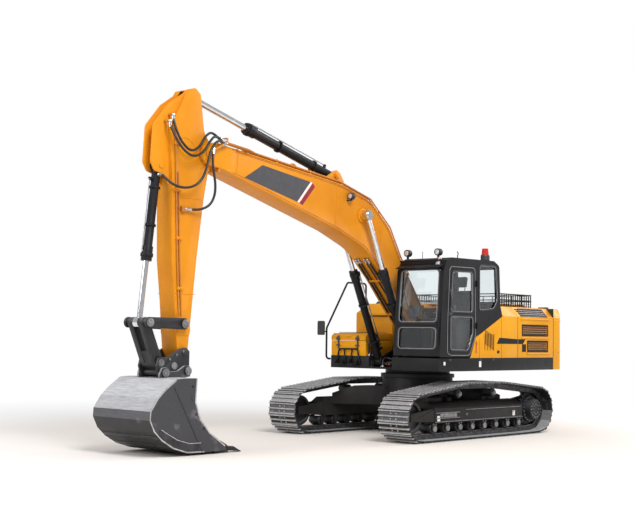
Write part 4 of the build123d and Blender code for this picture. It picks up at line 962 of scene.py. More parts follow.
def addBoomTrim():
    pieces, lines = [], []
    for sign in (1, -1):
        y = sign * boomTrim["seamY"]
        pieces += [tubeAt("seam", ((x, y, low), (x - 0.03, y, high)), 0.005) for x, low, high in boomTrim["seams"]]
    for x, z in boomTrim["clamps"]:
        pieces += addPipeClamp(x, z)
    for y in boomTrim["lugY"]:
        pieces.append(tubeAt("lug", [(x, y, z) for x, z in boomTrim["lug"]], 0.013, 3))
    fit("boomTrim", pieces, "boom", "boomPaint")
    # weld beads under the flange lips in the darkened pipe paint: a real weld line carrying the painted shadow that the
    # lip casts on the side
    for sign in (1, -1):
        for path, drop in ((boomEdges["top"], 0.034), (boomEdges["low"], -0.034)):
            spots = [(x, sign * 0.2085, z) for x, z in besideLine(path, drop)]
            lines.append(tubeAt("flangeWeld", spots, 0.0065))
    fit("flangeWeldsPaintedShadow", lines, "boom", "pipePaint")
    pieces = []
    for sign in (1, -1):
        y = sign * armTrim["side"]
        pieces.append(tubeAt("archWeld", [(x, y, z) for x, z in armTrim["arch"]], 0.006, 3))
        pieces += [tubeAt("seam", ((x0, y, z), (x1, y, z)), 0.0045) for z, x0, x1 in armTrim["seams"]]
        pieces.append(soften(addSide("plate", rounded(armTrim["plate"], 0.05), y, y + sign * 0.008), 0.002, 1))
    for z in armTrim["clips"]:
        x = 5.69 + (z - 1.9) * 0.0505
        pieces.append(softBlock("clip", (x - 0.075, 0.1595, z), (x + 0.03, 0.196, z + 0.045), 0.005, 2))
        pieces.append(addBolts("clipBolt", [at(x - 0.022, 0.196, z + 0.022)], (0, 1, 0), 0.011, 0.009))
    fit("armTrim", pieces, "arm", "boomPaint")
    print("boom and arm trimmed")


def addLampParts():
    # bezel and glass of the round work lamps
    lampSpots = (("boom", (2.2, 0.288, 3.9), 0.05), ("house", (0.96, 0.48, 3.045), 0.052),
                 ("house", (0.96, 1.11, 3.045), 0.052))
    rims = {"boom": [], "house": []}
    glasses = {"boom": [], "house": []}
    for body, spot, radius in lampSpots:
        start = at(*spot)
        ring = [start + Vector((0, radius * cos(2 * pi * n / 32), radius * sin(2 * pi * n / 32))) for n in range(32)]
        rims[body].append(soften(addPanel("rim", ring, (0.006, 0, 0), 0.008), 0.002, 1))
        glass = addRound("glass", start - Vector((0.001, 0, 0)), start + Vector((0.004, 0, 0)), radius - 0.006, 32,
                         radius - 0.016)
        glasses[body].append(soften(glass, 0.001, 1))
    for body in rims:
        fit(body + "LampRims", rims[body], body, "railPaint")
        fit(body + "LampGlass", glasses[body], body, "lampGlass")
    print("lamps glazed")


cabTrim = {
    "frontUpper": ((0.49, 1.88), (1.29, 1.88), (1.29, 2.76), (0.49, 2.76)),      # y, z on the sloping screen
    "frontLower": ((0.49, 1.45), (1.29, 1.45), (1.29, 1.815), (0.49, 1.815)),
    "doorUpper": ((0.93, 2.06), (0.88, 2.73), (0.3, 2.74), (0.29, 2.06)),
    "doorLower": ((0.935, 1.44), (0.93, 2.0), (0.285, 2.0), (0.28, 1.72), (0.42, 1.43)),
    "doorEdge": ((1.0, 1.4), (0.99, 1.9), (0.945, 2.79), (0.24, 2.8), (0.222, 1.69), (0.385, 1.37), (0.9, 1.37)),
    "quarter": ((0.11, 2.1), (0.11, 2.87), (-0.4, 2.87), (-0.44, 2.3), (-0.33, 2.14)),
    "side": 1.3645, "thick": 0.006,
    "grabRail": ((1.185, 1.318, 1.5), (1.215, 1.332, 1.54), (1.175, 1.332, 2.1), (1.13, 1.318, 2.14)),
    "visor": ((1.098, 0.44, 2.815), (1.098, 1.34, 2.815), (1.205, 1.34, 2.765), (1.205, 0.44, 2.765)),
    "hook": ((0.48, 1.18, 2.955), (0.48, 1.18, 3.01), (0.45, 1.18, 3.05), (0.49, 1.18, 3.075)),
    # the wiper's arm as distance before the screen, y and z; the blade as y and z
    "wiperArm": ((0.016, 0.86, 1.93), (0.03, 0.74, 2.05), (0.028, 0.6, 2.35), (0.024, 0.6, 2.6), (0.02, 0.655, 2.66)),
    "wiperBlade": ((0.545, 2.15), (0.562, 2.15), (0.652, 2.7), (0.635, 2.7)),
    "handle": ((0.905, 1.368, 2.04), (0.905, 1.392, 2.04), (0.975, 1.392, 2.03), (0.975, 1.368, 2.03)),
    "doorPull": ((0.945, 1.366, 2.42), (0.955, 1.395, 2.44), (0.925, 1.395, 2.1), (0.94, 1.366, 2.12)),
}


def screenX(z):
    # the cab's front face leans back with height
    return 1.209 - (z - 1.33) * 0.0596 if z < 1.9 else 1.175 - (z - 1.9) * 0.0774


def widened(points, reach):
    # the outline moved away from its middle
    middle = Vector((sum(p[0] for p in points) / len(points), sum(p[1] for p in points) / len(points)))
    return [tuple(Vector(p) + (Vector(p) - middle).normalized() * reach) for p in points]


def arced(key, reach, radius):
    # one of the cab's outlines, moved out by a reach and with round corners
    return [(p.x, p.y) for p in rounded([(*q, 0) for q in widened(cabTrim[key], reach)], radius)]


def addCabTrim():
    side, thick = cabTrim["side"], cabTrim["thick"]
    seals, beads = [], []
    for key in ("frontUpper", "frontLower"):
        spots = [at(screenX(z) + 0.0005, y, z) for y, z in arced(key, 0.012, 0.09)]
        seals.append(soften(addPanel("seal", spots, (thick, 0, 0.0004), 0.026), 0.002, 1))
        spots = [at(screenX(z) + 0.001, y, z) for y, z in arced(key, -0.022, 0.075)]
        beads.append(addPanel("bead", spots, (thick + 0.002, 0, 0), 0.008))
    for key in ("doorUpper", "doorLower", "quarter"):
        seals.append(soften(addSide("seal", arced(key, 0.012, 0.07), side, side + thick, 0.024), 0.002, 1))
        beads.append(addSide("bead", arced(key, -0.016, 0.06), side, side + thick + 0.001, 0.006))
    beads.append(soften(addSide("doorBead", arced("doorEdge", 0.014, 0.07), side, side + 0.003, 0.009), 0.001, 1))
    fit("screenSeals", seals[:2] + seals[4:], "house", "sealRubber")
    fit("screenBeads", beads[:2] + beads[4:], "house", "sealPale")
    fit("doorSeals", seals[2:4], "cab_door", "sealRubber")
    fit("doorBeads", beads[2:4], "cab_door", "sealPale")
    # sun visor, drip rail, grab rail, sill, plugs, antenna and hook
    dark = [soften(addPanel("visor", [at(*spot) for spot in cabTrim["visor"]], (0, 0, 0.012)), 0.004, 2),
            tubeAt("dripRail", ((1.085, 0.45, 2.9), (1.085, 1.33, 2.9)), 0.014),
            tubeAt("grabRail", cabTrim["grabRail"], 0.012, 3),
            softBlock("sill", (1.166, 0.48, 1.824), (1.19, 1.3, 1.868), 0.006, 2)]
    for y in (0.56, 1.26):
        dark.append(softRound("plug", (1.2, y, 1.375), (1.214, y, 1.376), 0.02, 20, 0.003, 1))
    dark.append(tubeAt("antenna", ((0.62, 0.56, 2.95), (0.62, 0.56, 3.09)), 0.005))
    dark.append(tubeAt("hook", cabTrim["hook"], 0.008, 3))
    fit("cabTrimPieces", dark, "house", "blackPaint")
    # a bent wiper arm, its blade and hub, standing on the screen's right half
    arm = tubeAt("arm", [(screenX(z) + ahead, y, z) for ahead, y, z in cabTrim["wiperArm"]], 0.007, 3)
    spots = [at(screenX(z) + 0.009, y, z) for y, z in cabTrim["wiperBlade"]]
    blade = soften(addPanel("blade", spots, (0.012, 0, 0)), 0.002, 1)
    hubX = screenX(1.92)
    hub = softRound("hub", (hubX, 0.87, 1.925), (hubX + 0.03, 0.87, 1.927), 0.022, 20, 0.004, 2)
    fit("wiper", [arm, blade, hub], "house", "railPaint")
    trims = [softBlock("handlePlate", (0.9, 1.3635, 2.005), (0.965, 1.37, 2.055), 0.003, 2),
             tubeAt("handle", cabTrim["handle"], 0.007, 2), tubeAt("doorPull", cabTrim["doorPull"], 0.009, 3)]
    fit("doorHandle", trims, "cab_door", "railPaint")
    lamp = [softRound("sideLamp", (0.99, 1.2, 2.845), (1.06, 1.2, 2.84), 0.046, 28, 0.008, 2),
            softBlock("bracket", (0.97, 1.18, 2.84), (1.03, 1.22, 2.95), 0.004, 2)]
    fit("screenLamp", lamp, "house", "zincPlate")
    stem = [softRound("stem", (-0.33, 1.18, 2.956), (-0.33, 1.18, 3.02), 0.078, 36, 0.006, 2, 0.078),
            softRound("collar", (-0.33, 1.18, 3.016), (-0.33, 1.18, 3.07), 0.08, 36, 0.006, 2, 0.074)]
    fit("beaconStem", stem, "house", "railPaint")
    print("cab trimmed")


seatPads = {
    # name: low and high corner in metres, lean about y in radians
    "seatCushion": {"low": (0.075, 0.66, 1.77), "high": (0.545, 1.11, 1.868), "lean": 0.0},
    "seatBack": {"low": (-0.048, 0.672, 1.9), "high": (0.048, 1.098, 2.462), "lean": -0.2},
    "seatHeadrest": {"low": (-0.04, 0.755, 2.505), "high": (0.04, 1.015, 2.685), "lean": -0.2},
}
padSettings = {
    "voxel": 0.012, "pressure": 4.0, "frames": 20, "cap": 0.014,
    # sewn channels across a pad, and the seam of its bolsters, as shares of the pad and depths in metres
    "channels": 5, "channelHalf": 0.09, "channelDepth": 0.006,
    "bolsterAt": 0.8, "bolsterHalf": 0.08, "bolsterDepth": 0.008,
}


def swell(piece):
    # air pressure in a cloth skin, its travel capped
    rest = [vertex.co.copy() for vertex in piece.data.vertices]
    pickOnly(piece)
    cloth = piece.modifiers.new("Cloth", "CLOTH")
    cloth.settings.quality = 5
    cloth.settings.use_pressure = True
    cloth.settings.uniform_pressure_force = padSettings["pressure"]
    cloth.settings.effector_weights.gravity = 0
    cloth.point_cache.frame_end = padSettings["frames"]
    for number in range(1, padSettings["frames"] + 1):
        bpy.context.scene.frame_set(number)
    bpy.ops.object.modifier_apply(modifier=cloth.name)
    bpy.context.scene.frame_set(1)
    for vertex, start in zip(piece.data.vertices, rest):
        move = vertex.co - start
        if move.length > padSettings["cap"]:
            vertex.co = start + move.normalized() * padSettings["cap"]
    return piece


def addSeatPad(name, plan):
    low, high = at(*plan["low"]), at(*plan["high"])
    piece = addBlock(name, low, high)
    bpy.ops.object.mode_set(mode="EDIT")
    bpy.ops.mesh.select_all(action="SELECT")
    bpy.ops.mesh.subdivide(number_cuts=1)
    bpy.ops.object.mode_set(mode="OBJECT")
    soften(piece, 0.024, 3)
    pickOnly(piece)
    piece.data.remesh_voxel_size = padSettings["voxel"]
    bpy.ops.object.voxel_remesh()
    swell(piece)
    middle = (low + high) / 2
    length = high - low
    deep, along = (0, 2) if length.x < length.z else (2, 0)
    for vertex in piece.data.vertices:
        share = (vertex.co[along] - low[along]) / length[along]
        across = abs(vertex.co.y - middle.y) / (length.y / 2)
        facing = 1 if vertex.co[deep] > middle[deep] else -1
        channel = abs((share * padSettings["channels"]) % 1 - 0.5) / padSettings["channelHalf"]
        if across < 0.72:
            vertex.co[deep] -= facing * max(0.0, 1 - channel) * padSettings["channelDepth"]
        bolster = abs(across - padSettings["bolsterAt"]) / padSettings["bolsterHalf"]
        vertex.co[deep] -= facing * max(0.0, 1 - bolster) * padSettings["bolsterDepth"]
    applyModifier(piece, "SUBSURF", levels=1, render_levels=1)
    if plan["lean"]:
        turn = Matrix.Translation((low.x + length.x / 2, 0, low.z)) @ Matrix.Rotation(plan["lean"], 4, "Y")
        piece.data.transform(turn @ Matrix.Translation((-low.x - length.x / 2, 0, -low.z)))
    smooth(piece, 60)
    place(piece, "house", paints["seatCloth"])
    return piece


def addSeat():
    pads = [addSeatPad(name, plan) for name, plan in seatPads.items()]
    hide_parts("operator_seat")
    shell = soften(addSide("seatShell", ((0.01, 1.83), (0.03, 1.83), (-0.1, 2.45), (-0.12, 2.45)), 0.665, 1.105), 0.008,
                   3)
    stalks = [tubeAt("stalk", ((-0.045, y, 2.4), (-0.068, y, 2.53)), 0.007) for y in (0.82, 0.95)]
    rests = []
    for y in (0.615, 1.155):
        rests.append(softBlock("armRest", (0.06, y - 0.03, 2.03), (0.36, y + 0.03, 2.085), 0.016, 3))
        rests.append(softBlock("armPost", (0.06, y - 0.014, 1.85), (0.1, y + 0.014, 2.04), 0.006, 2))
    fit("seatShellAndRests", [shell] + stalks + rests, "house", "vinylGrey")
    print("seat upholstered")


cabInside = {
    "consoles": (0.56, 1.21), "levers": (0.8, 0.96), "rings": 5, "switches": 4, "ribs": 16,
    "monitor": ((0.9, 0.5, 1.98), (0.86, 0.7, 1.98), (0.845, 0.7, 2.16), (0.885, 0.5, 2.16)),
    "monitorArm": ((0.87, 0.56, 1.9), (0.87, 0.52, 1.98), (0.88, 0.47, 2.0)),
}


def addCabInside():
    pieces = []
    for y in cabInside["consoles"]:
        pieces.append(softRound("knob", (0.596, y, 2.1), (0.612, y, 2.185), 0.022, 20, 0.008, 3, 0.03))
        for n in range(cabInside["rings"]):
            x, z, radius = 0.56 + n * 0.003, 1.962 + n * 0.014, 0.05 - n * 0.006
            pieces.append(softRound("gaiter", (x, y, z), (x + 0.003, y, z + 0.014), radius, 24, 0.003, 1,
                                    radius - 0.005))
        for n in range(cabInside["switches"]):
            x = 0.12 + n * 0.07
            pieces.append(softRound("switch", (x, y, 1.959), (x, y, 1.972), 0.014, 16, 0.003, 1))
    # monitor on its arm, knobs and treads of the drive levers, and the floor mat
    monitor = addPanel("monitor", [at(*spot) for spot in cabInside["monitor"]], (0.03, 0.006, 0.004))
    pieces.append(soften(monitor, 0.008, 3))
    pieces.append(tubeAt("monitorArm", cabInside["monitorArm"], 0.012, 3))
    for y in cabInside["levers"]:
        pieces.append(softRound("leverKnob", (0.86, y, 1.79), (0.855, y, 1.85), 0.02, 20, 0.008, 3, 0.024))
        for n in range(5):
            x = 0.892 + n * 0.022
            pieces.append(addBlock("tread", at(x, y - 0.04, 1.416), at(x + 0.01, y + 0.04, 1.421)))
    pieces.append(softBlock("mat", (0.3, 0.6, 1.385), (1.14, 1.28, 1.394), 0.003, 2))
    for n in range(cabInside["ribs"]):
        x = 0.32 + n * 0.05
        pieces.append(addBlock("rib", at(x, 0.62, 1.394), at(x + 0.015, 1.26, 1.398)))
    fit("cabInside", pieces, "house", "vinylGrey")
    print("cab fitted out")


grilles = {
    # slots of the left rear door: x0, x1, first slot's foot, slots, pitch, slot height
    "middle": (-2.04, -1.22, 1.71, 5, 0.037, 0.026), "low": (-2.04, -1.39, 1.43, 5, 0.037, 0.026),
    "shoulder": (-2.04, -1.18, 2.05, 4, 0.032, 0.019), "side": 1.364,
    # bright ridges under them: x0, x1, z
    "ridges": ((-2.11, -1.17, 1.99), (-2.11, -1.19, 1.66), (-2.11, -1.35, 1.385)),
}


def shoulderSpot(x, z, out):
    # a spot over the sloping shoulder of the housing
    share = (z - 2.03) / 0.17
    return at(x, 1.364 - 0.144 * share + 0.763 * out, z + 0.646 * out)


def addGrille(key, dark, mesh):
    x0, x1, z0, slots, pitch, slot = grilles[key]
    top = z0 + pitch * (slots - 1) + slot
    sloping = key == "shoulder"
    outward = Vector((0, 0.763, 0.646)) if sloping else Vector((0, 1, 0))
    lean = 0.075 if sloping else 0.0

    def spotOn(x, z, out):
        return shoulderSpot(x, z, out) if sloping else at(x, grilles["side"] + out, z)

    def flat(name, corners, out, thick):
        return addPanel(name, [spotOn(x, z, out) for x, z in corners], outward * thick)

    edge = [(x0 - 0.022, z0 - 0.016), (x1 + 0.022, z0 - 0.016), (x1 + 0.022 - lean, top + 0.014),
            (x0 - 0.022 + lean * 0.3, top + 0.014)]
    outline = rounded([spotOn(x, z, 0.0004) for x, z in edge], 0.02)
    dark.append(soften(addPanel("grilleFrame", outline, outward * 0.006, 0.024), 0.002, 1))
    for n in range(slots + 1):
        low = z0 + pitch * (n - 1) + slot
        high = low + pitch - slot
        share = lean * max(0.0, (low - z0)) / (top - z0)
        corners = ((x0, low), (x1 - share, low), (x1 - share, high), (x0, high))
        mesh.append(soften(flat("slat", corners, 0.0003, 0.003), 0.001, 1))
    for n in range(1, 12):
        x = x0 + (x1 - lean - x0) * n / 12
        corners = ((x - 0.003, z0), (x + 0.003, z0), (x + 0.003, top), (x - 0.003, top))
        mesh.append(flat("bar", corners, 0.0003, 0.002))
    corners = ((x0 - 0.01, z0 - 0.01), (x1 + 0.01, z0 - 0.01), (x1 + 0.01, top), (x0 - 0.01, top))
    mesh.append(flat("filter", corners, -0.06, 0.004))


sidePlates = {
    # blank dark plates as x and z: two on the rear door, split at the panels' gap, and one on the front panel
    "door": (((-1.08, 1.555), (-1.236, 1.555), (-1.31, 1.638), (-1.08, 1.638)),
             ((-1.204, 1.552), (-1.333, 1.552), (-1.333, 1.418), (-1.204, 1.418))),
    "panel": ((-0.417, 1.555), (-1.066, 1.555), (-1.066, 1.638), (-0.499, 1.66)),
    "slits": 11, "slitPitch": 0.0225, "gaps": ((-1.07, 2.02), (-0.56, 2.02), (0.1, 1.62)), "feet": (-0.32, 0.06, 0.92),
}


def addHouseSide():
    side = grilles["side"]
    dark, mesh, ridges = [], [], []
    for key in ("middle", "low", "shoulder"):
        addGrille(key, dark, mesh)
    for x0, x1, z in grilles["ridges"]:
        profile = ((-0.001, -0.022), (0.018, -0.004), (0.014, 0.012), (-0.001, 0.02))
        spots = [at(x0, side + out, z + up) for out, up in profile]
        ridges.append(soften(addPanel("ridge", spots, (x1 - x0, 0, 0)), 0.004, 3))
    fit("doorRidges", ridges, "left_rear_door", "panelPaint")
    for points in sidePlates["door"]:
        dark.append(soften(addSide("plate", points, side + 0.0003, side + 0.0025), 0.0008, 1))
    fit("doorGrilles", dark, "left_rear_door", "blackPaint")
    fit("doorMesh", mesh, "left_rear_door", "meshSteel")
    plates = [soften(addSide("plate", sidePlates["panel"], side + 0.0003, side + 0.0025), 0.0008, 1)]
    for n in range(sidePlates["slits"]):
        low = 1.45 + n * sidePlates["slitPitch"]
        corners = ((-0.335, low), (-0.06, low + 0.105), (-0.06, low + 0.113), (-0.335, low + 0.008))
        plates.append(addSide("slit", corners, side + 0.0005, side + 0.0025))
    plates.append(softRound("latch", (-0.454, side, 1.417), (-0.454, side + 0.014, 1.417), 0.026, 24, 0.004, 2))
    plates.append(softBlock("latchBar", (-0.484, side + 0.012, 1.409), (-0.424, side + 0.02, 1.425), 0.003, 2))
    fit("frontPanelPlates", plates, "house", "blackPaint")
    red = [softBlock("strap", (0.188, side + 0.0005, 1.395), (0.206, side + 0.012, 1.6), 0.005, 2),
           softBlock("buckle", (0.178, side + 0.0005, 1.54), (0.216, side + 0.018, 1.575), 0.005, 2)]
    fit("redLatch", red, "house", "latchRed")
    seams = []
    for x, top in sidePlates["gaps"]:
        seams.append(addBlock("gap", at(x - 0.003, side - 0.003, 1.318), at(x + 0.003, side + 0.0012, top)))
    seams.append(addBlock("sillGap", at(-2.24, side - 0.004, 1.31), at(0.34, side + 0.0014, 1.318)))
    for x in sidePlates["feet"]:
        seams.append(softBlock("foot", (x - 0.03, side - 0.02, 1.27), (x + 0.03, side + 0.004, 1.3), 0.004, 1))
    fit("panelGaps", seams, "house", "sealRubber")
    white = [softBlock("mark", (0.045, side + 0.0002, 1.165), (0.11, side + 0.003, 1.262), 0.002, 1),
             softBlock("mark", (1.055, side + 0.0002, 1.2), (1.105, side + 0.003, 1.255), 0.002, 1)]
    fit("blankMarkPlates", white, "house", "stripePale")
    print("house side dressed")


weightTrim = {
    "castSeams": (1.42, 1.98), "lamps": (-0.9, 0.9),
    "eye": ((-2.5, 0.62, 2.19), (-2.5, 0.62, 2.255), (-2.5, 0.5, 2.255), (-2.5, 0.5, 2.19)),
}


def addWeightTrim():
    # cast seams, lifting eyes and rear lamp boxes of the counterweight
    pieces = [tubeAt("castSeam", ((-2.262, 1.3635, z), (-2.5, 1.3605, z)), 0.006) for z in weightTrim["castSeams"]]
    for sign in (1, -1):
        pieces.append(tubeAt("liftEye", [(x, sign * y, z) for x, y, z in weightTrim["eye"]], 0.02, 3))
    fit("weightTrim", pieces, "house", "panelPaint")
    dark = [softBlock("lampBox", (-2.7, y - 0.09, 2.195), (-2.62, y + 0.09, 2.24), 0.006, 2)
            for y in weightTrim["lamps"]]
    dark.append(softBlock("weightGap", (-2.252, -1.17, 1.33), (-2.246, 1.366, 2.198), 0.0005, 1))
    fit("weightDark", dark, "house", "sealRubber")
    print("counterweight trimmed")


def addHoodTrim():
    ribs = [softBlock("stiffener", (x - 0.1, -0.86, 2.258), (x + 0.1, 0.86, 2.272), 0.006, 3)
            for x in (-1.95, -1.5, -1.05)]
    fit("hoodRibs", ribs, "hood", "panelPaint")
    latches = [softBlock("hoodLatch", (-0.69, y - 0.03, 2.255), (-0.63, y + 0.03, 2.285), 0.005, 2)
               for y in (-1.1, 1.1)]
    fit("hoodLatches", latches, "hood", "railPaint")
    print("hood trimmed")


tankTrim = {
    "fillers": (-0.66, -1.06), "latches": (-0.665, -1.105),
    "handle": ((0.108, -0.56, 2.02), (0.138, -0.58, 2.02), (0.138, -1.1, 2.02), (0.108, -1.12, 2.02)),
    "stepRail": ((0.862, -1.115, 1.18), (0.862, -1.075, 1.43), (0.862, -0.65, 1.43), (0.862, -0.6, 1.18)),
    "stepLegs": (((0.862, -0.955, 1.42), (0.862, -0.925, 1.2)), ((0.862, -0.775, 1.42), (0.862, -0.805, 1.2))),
    "treads": 9, "treadPitch": 0.066,
}


def addTankTrim():
    fillers, latches, plates = [], [], []
    for y in tankTrim["fillers"]:
        fillers.append(softRound("neck", (-0.25, y, 2.245), (-0.25, y, 2.272), 0.075, 32, 0.005, 2))
        fillers.append(softRound("cap", (-0.25, y, 2.27), (-0.25, y, 2.292), 0.06, 24, 0.005, 2, 0.055))
    fit("fillerCaps", fillers, "house", "railPaint")
    fit("tankHandle", [tubeAt("handle", tankTrim["handle"], 0.012, 3)], "house", "blackPaint")
    for y in tankTrim["latches"]:
        plates.append(softBlock("plate", (0.831, y - 0.045, 1.42), (0.8345, y + 0.045, 1.5), 0.001, 1))
        latches.append(softBlock("strap", (0.8335, y - 0.016, 1.43), (0.85, y + 0.016, 1.665), 0.006, 2))
        latches.append(softRound("hub", (0.846, y, 1.61), (0.874, y, 1.61), 0.034, 24, 0.006, 2))
        latches.append(softBlock("grip", (0.85, y - 0.045, 1.48), (0.866, y + 0.045, 1.505), 0.006, 2))
    fit("toolboxPlates", plates, "house", "panelPaint")
    fit("toolboxLatches", latches, "toolbox_lid", "railPaint")
    handle = softBlock("handle", (0.8325, -0.94, 1.64), (0.852, -0.82, 1.668), 0.006, 3)
    fit("lidHandle", [handle], "toolbox_lid", "panelPaint")
    # the step's tube frame ahead of the box, and the lid's treads
    legs = [tubeAt("stepRail", tankTrim["stepRail"], 0.015)] + [tubeAt("leg", leg, 0.013)
                                                                for leg in tankTrim["stepLegs"]]
    fit("stepFrame", legs, "house", "blackPaint")
    treads = []
    for n in range(tankTrim["treads"]):
        x = 0.18 + n * tankTrim["treadPitch"]
        treads.append(softBlock("tread", (x, -1.2, 1.7185), (x + 0.022, -0.57, 1.724), 0.0015, 1))
    fit("lidTreads", treads, "toolbox_lid", "railPaint")
    print("tanks and toolbox dressed")


footLines = {
    # lines in the channel under the boom's foot, held at both ends: spots, radius
    "channel": (
        (((0.78, 0.13, 1.14), (0.8, 0.13, 1.27), (0.66, 0.12, 1.33), (0.5, 0.1, 1.28), (0.47, 0.1, 1.14)), 0.018),
        (((0.76, 0.07, 1.14), (0.79, 0.06, 1.24), (0.66, 0.05, 1.3), (0.54, 0.06, 1.24), (0.52, 0.06, 1.14)), 0.015),
        (((0.8, -0.13, 1.14), (0.81, -0.14, 1.24), (0.7, -0.14, 1.3), (0.56, -0.13, 1.26), (0.53, -0.13, 1.14)), 0.018),
        (((0.81, 0.16, 1.15), (0.825, 0.1, 1.21), (0.825, -0.1, 1.21), (0.81, -0.16, 1.15)), 0.012),
        (((0.74, -0.07, 1.25), (0.8, -0.06, 1.3), (0.78, 0.1, 1.26), (0.74, 0.16, 1.16)), 0.013),
    ),
    "fittings": ((0.78, 0.13), (0.47, 0.1), (0.76, 0.07), (0.52, 0.06), (0.8, -0.13), (0.53, -0.13)),
    "sideFittings": ((0.7, -0.44), (0.78, -0.45), (0.5, -0.445), (0.62, -0.45)), "solenoids": (-0.055, 0.005),
    # lines clamped under the boom's belly: y of each and its radius; the belly as x and z
    "belly": ((-0.13, 0.017), (-0.07, 0.013), (0.05, 0.013), (0.12, 0.017)),
    "bellyPath": ((0.33, 1.788), (0.64, 2.06), (1.16, 2.61), (1.52, 2.93)),
    # lines between the toolbox and the right cylinder
    "side": (
        (((0.7, -0.44, 1.32), (0.74, -0.44, 1.52), (0.8, -0.445, 1.6), (0.8, -0.45, 1.42), (0.78, -0.45, 1.32)), 0.014),
        (((0.5, -0.445, 1.32), (0.55, -0.445, 1.66), (0.66, -0.45, 1.72), (0.66, -0.45, 1.5), (0.62, -0.45, 1.32)),
         0.014),
    ),
}


def addFootLines():
    tubes = [tubeAt("footLine", spots, radius, 3, 4) for spots, radius in footLines["channel"] + footLines["side"]]
    fit("footLines", tubes, "house", "hoseRubber")
    fittings = []
    for x, y in footLines["fittings"]:
        fittings.append(softRound("nut", (x, y, 1.128), (x, y, 1.16), 0.027, 6, 0.003, 1))
        fittings.append(softRound("sleeve", (x, y, 1.158), (x, y, 1.19), 0.022, 20, 0.003, 1))
    for x, y in footLines["sideFittings"]:
        fittings.append(softRound("nut", (x, y, 1.308), (x, y, 1.345), 0.022, 6, 0.003, 1))
        fittings.append(softRound("sleeve", (x, y, 1.342), (x, y, 1.39), 0.018, 20, 0.003, 1))
    fit("footFittings", fittings, "house", "zincPlate")
    valves = [softBlock("valveBlock", (0.6, -0.09, 1.128), (0.74, 0.04, 1.235), 0.01, 2)]
    valves += [softRound("solenoid", (0.735, y, 1.185), (0.795, y, 1.185), 0.024, 20, 0.005, 2)
               for y in footLines["solenoids"]]
    fit("footValves", valves, "house", "blackPaint")
    caps = [softRound("cap", (0.79, y, 1.185), (0.812, y, 1.185), 0.018, 16, 0.004, 2, 0.014)
            for y in footLines["solenoids"]]
    fit("footCaps", caps, "house", "latchRed")
    belly, sleeves, clamps = [], [], []
    for y, radius in footLines["belly"]:
        path = besideLine(footLines["bellyPath"], radius + 0.012)
        spots = [at(x, y, z) for x, z in path]
        first = at(path[0][0] - 0.02, y, path[0][1] - 0.002)
        belly.append(addTube("bellyLine", [first] + spots, radius, 3, 4))
        for low, high in ((spots[0], spots[1]), (spots[3], spots[2])):
            run = (high - low).normalized()
            sleeves.append(soften(addRound("sleeve", low - run * 0.02, low + run * 0.07, radius + 0.004, 20), 0.003, 1))
            sleeves.append(soften(addRound("nut", low - run * 0.03, low + run * 0.005, radius + 0.01, 6), 0.003, 1))
    run, out = Vector((0.7, 0, 0.714)), Vector((0.714, 0, -0.7))
    for x, z in footLines["bellyPath"][1:3]:
        path = besideLine(((x - 0.05, z - 0.05), (x, z), (x + 0.05, z + 0.051)), 0.03)
        ends = [at(path[1][0], y, path[1][1]) - run * 0.02 - out * 0.032 for y in (-0.155, 0.145)]
        bar = addPanel("clampBar", [ends[0], ends[1], ends[1] + run * 0.04, ends[0] + run * 0.04], out * 0.052)
        clamps.append(soften(bar, 0.005, 2))
    fit("bellyLines", belly, "boom", "hoseRubber")
    fit("bellySleeves", sleeves, "boom", "zincPlate")
    fit("bellyClamps", clamps, "boom", "boomPaint")
    print("boom foot dressed")


bucketTrim = {
    # the side plate's rim along the back's bends, its inner line, and the heel's wear strip, as x and z, on y 0.6
    "rim": ((5.55, 0.034), (5.86, 0.04), (6.11, 0.112), (6.31, 0.224), (6.448, 0.347), (6.526, 0.501), (6.518, 0.619),
            (6.398, 0.788),
            (6.268, 0.903), (6.078, 1.03)),
    "rimInner": ((5.55, 0.052), (5.857, 0.058), (6.102, 0.129), (6.299, 0.24), (6.433, 0.36), (6.508, 0.504),
                 (6.501, 0.613),
                 (6.384, 0.777), (6.255, 0.89), (6.072, 1.012)),
    "heel": ((5.66, 0.062), (5.857, 0.066), (6.098, 0.136), (6.296, 0.247), (6.38, 0.32)),
    "heelInner": ((5.62, 0.165), (5.82, 0.165), (6.04, 0.222), (6.225, 0.316), (6.33, 0.375)),
    "lip": ((5.7, 1.03), (5.715, 0.72), (5.625, 0.49), (5.45, 0.3), (5.16, 0.112)),
    "lipInner": ((5.722, 1.03), (5.737, 0.715), (5.645, 0.478), (5.463, 0.284), (5.162, 0.088)),
    "seam": ((6.112, 0.93), (5.835, 0.47), (5.59, 0.045)), "side": 0.6, "thick": 0.01,
    # wear ribs across the back, as x and z of the back's bends
    "ribs": ((5.86, 0.038), (6.11, 0.11), (6.31, 0.222), (6.45, 0.345)),
}


def addStrip(name, outer, inner, y, reach):
    # a bent strip between two lines of spots
    spots = list(outer) + list(reversed(inner))
    return addSide(name, spots, y, y + reach)


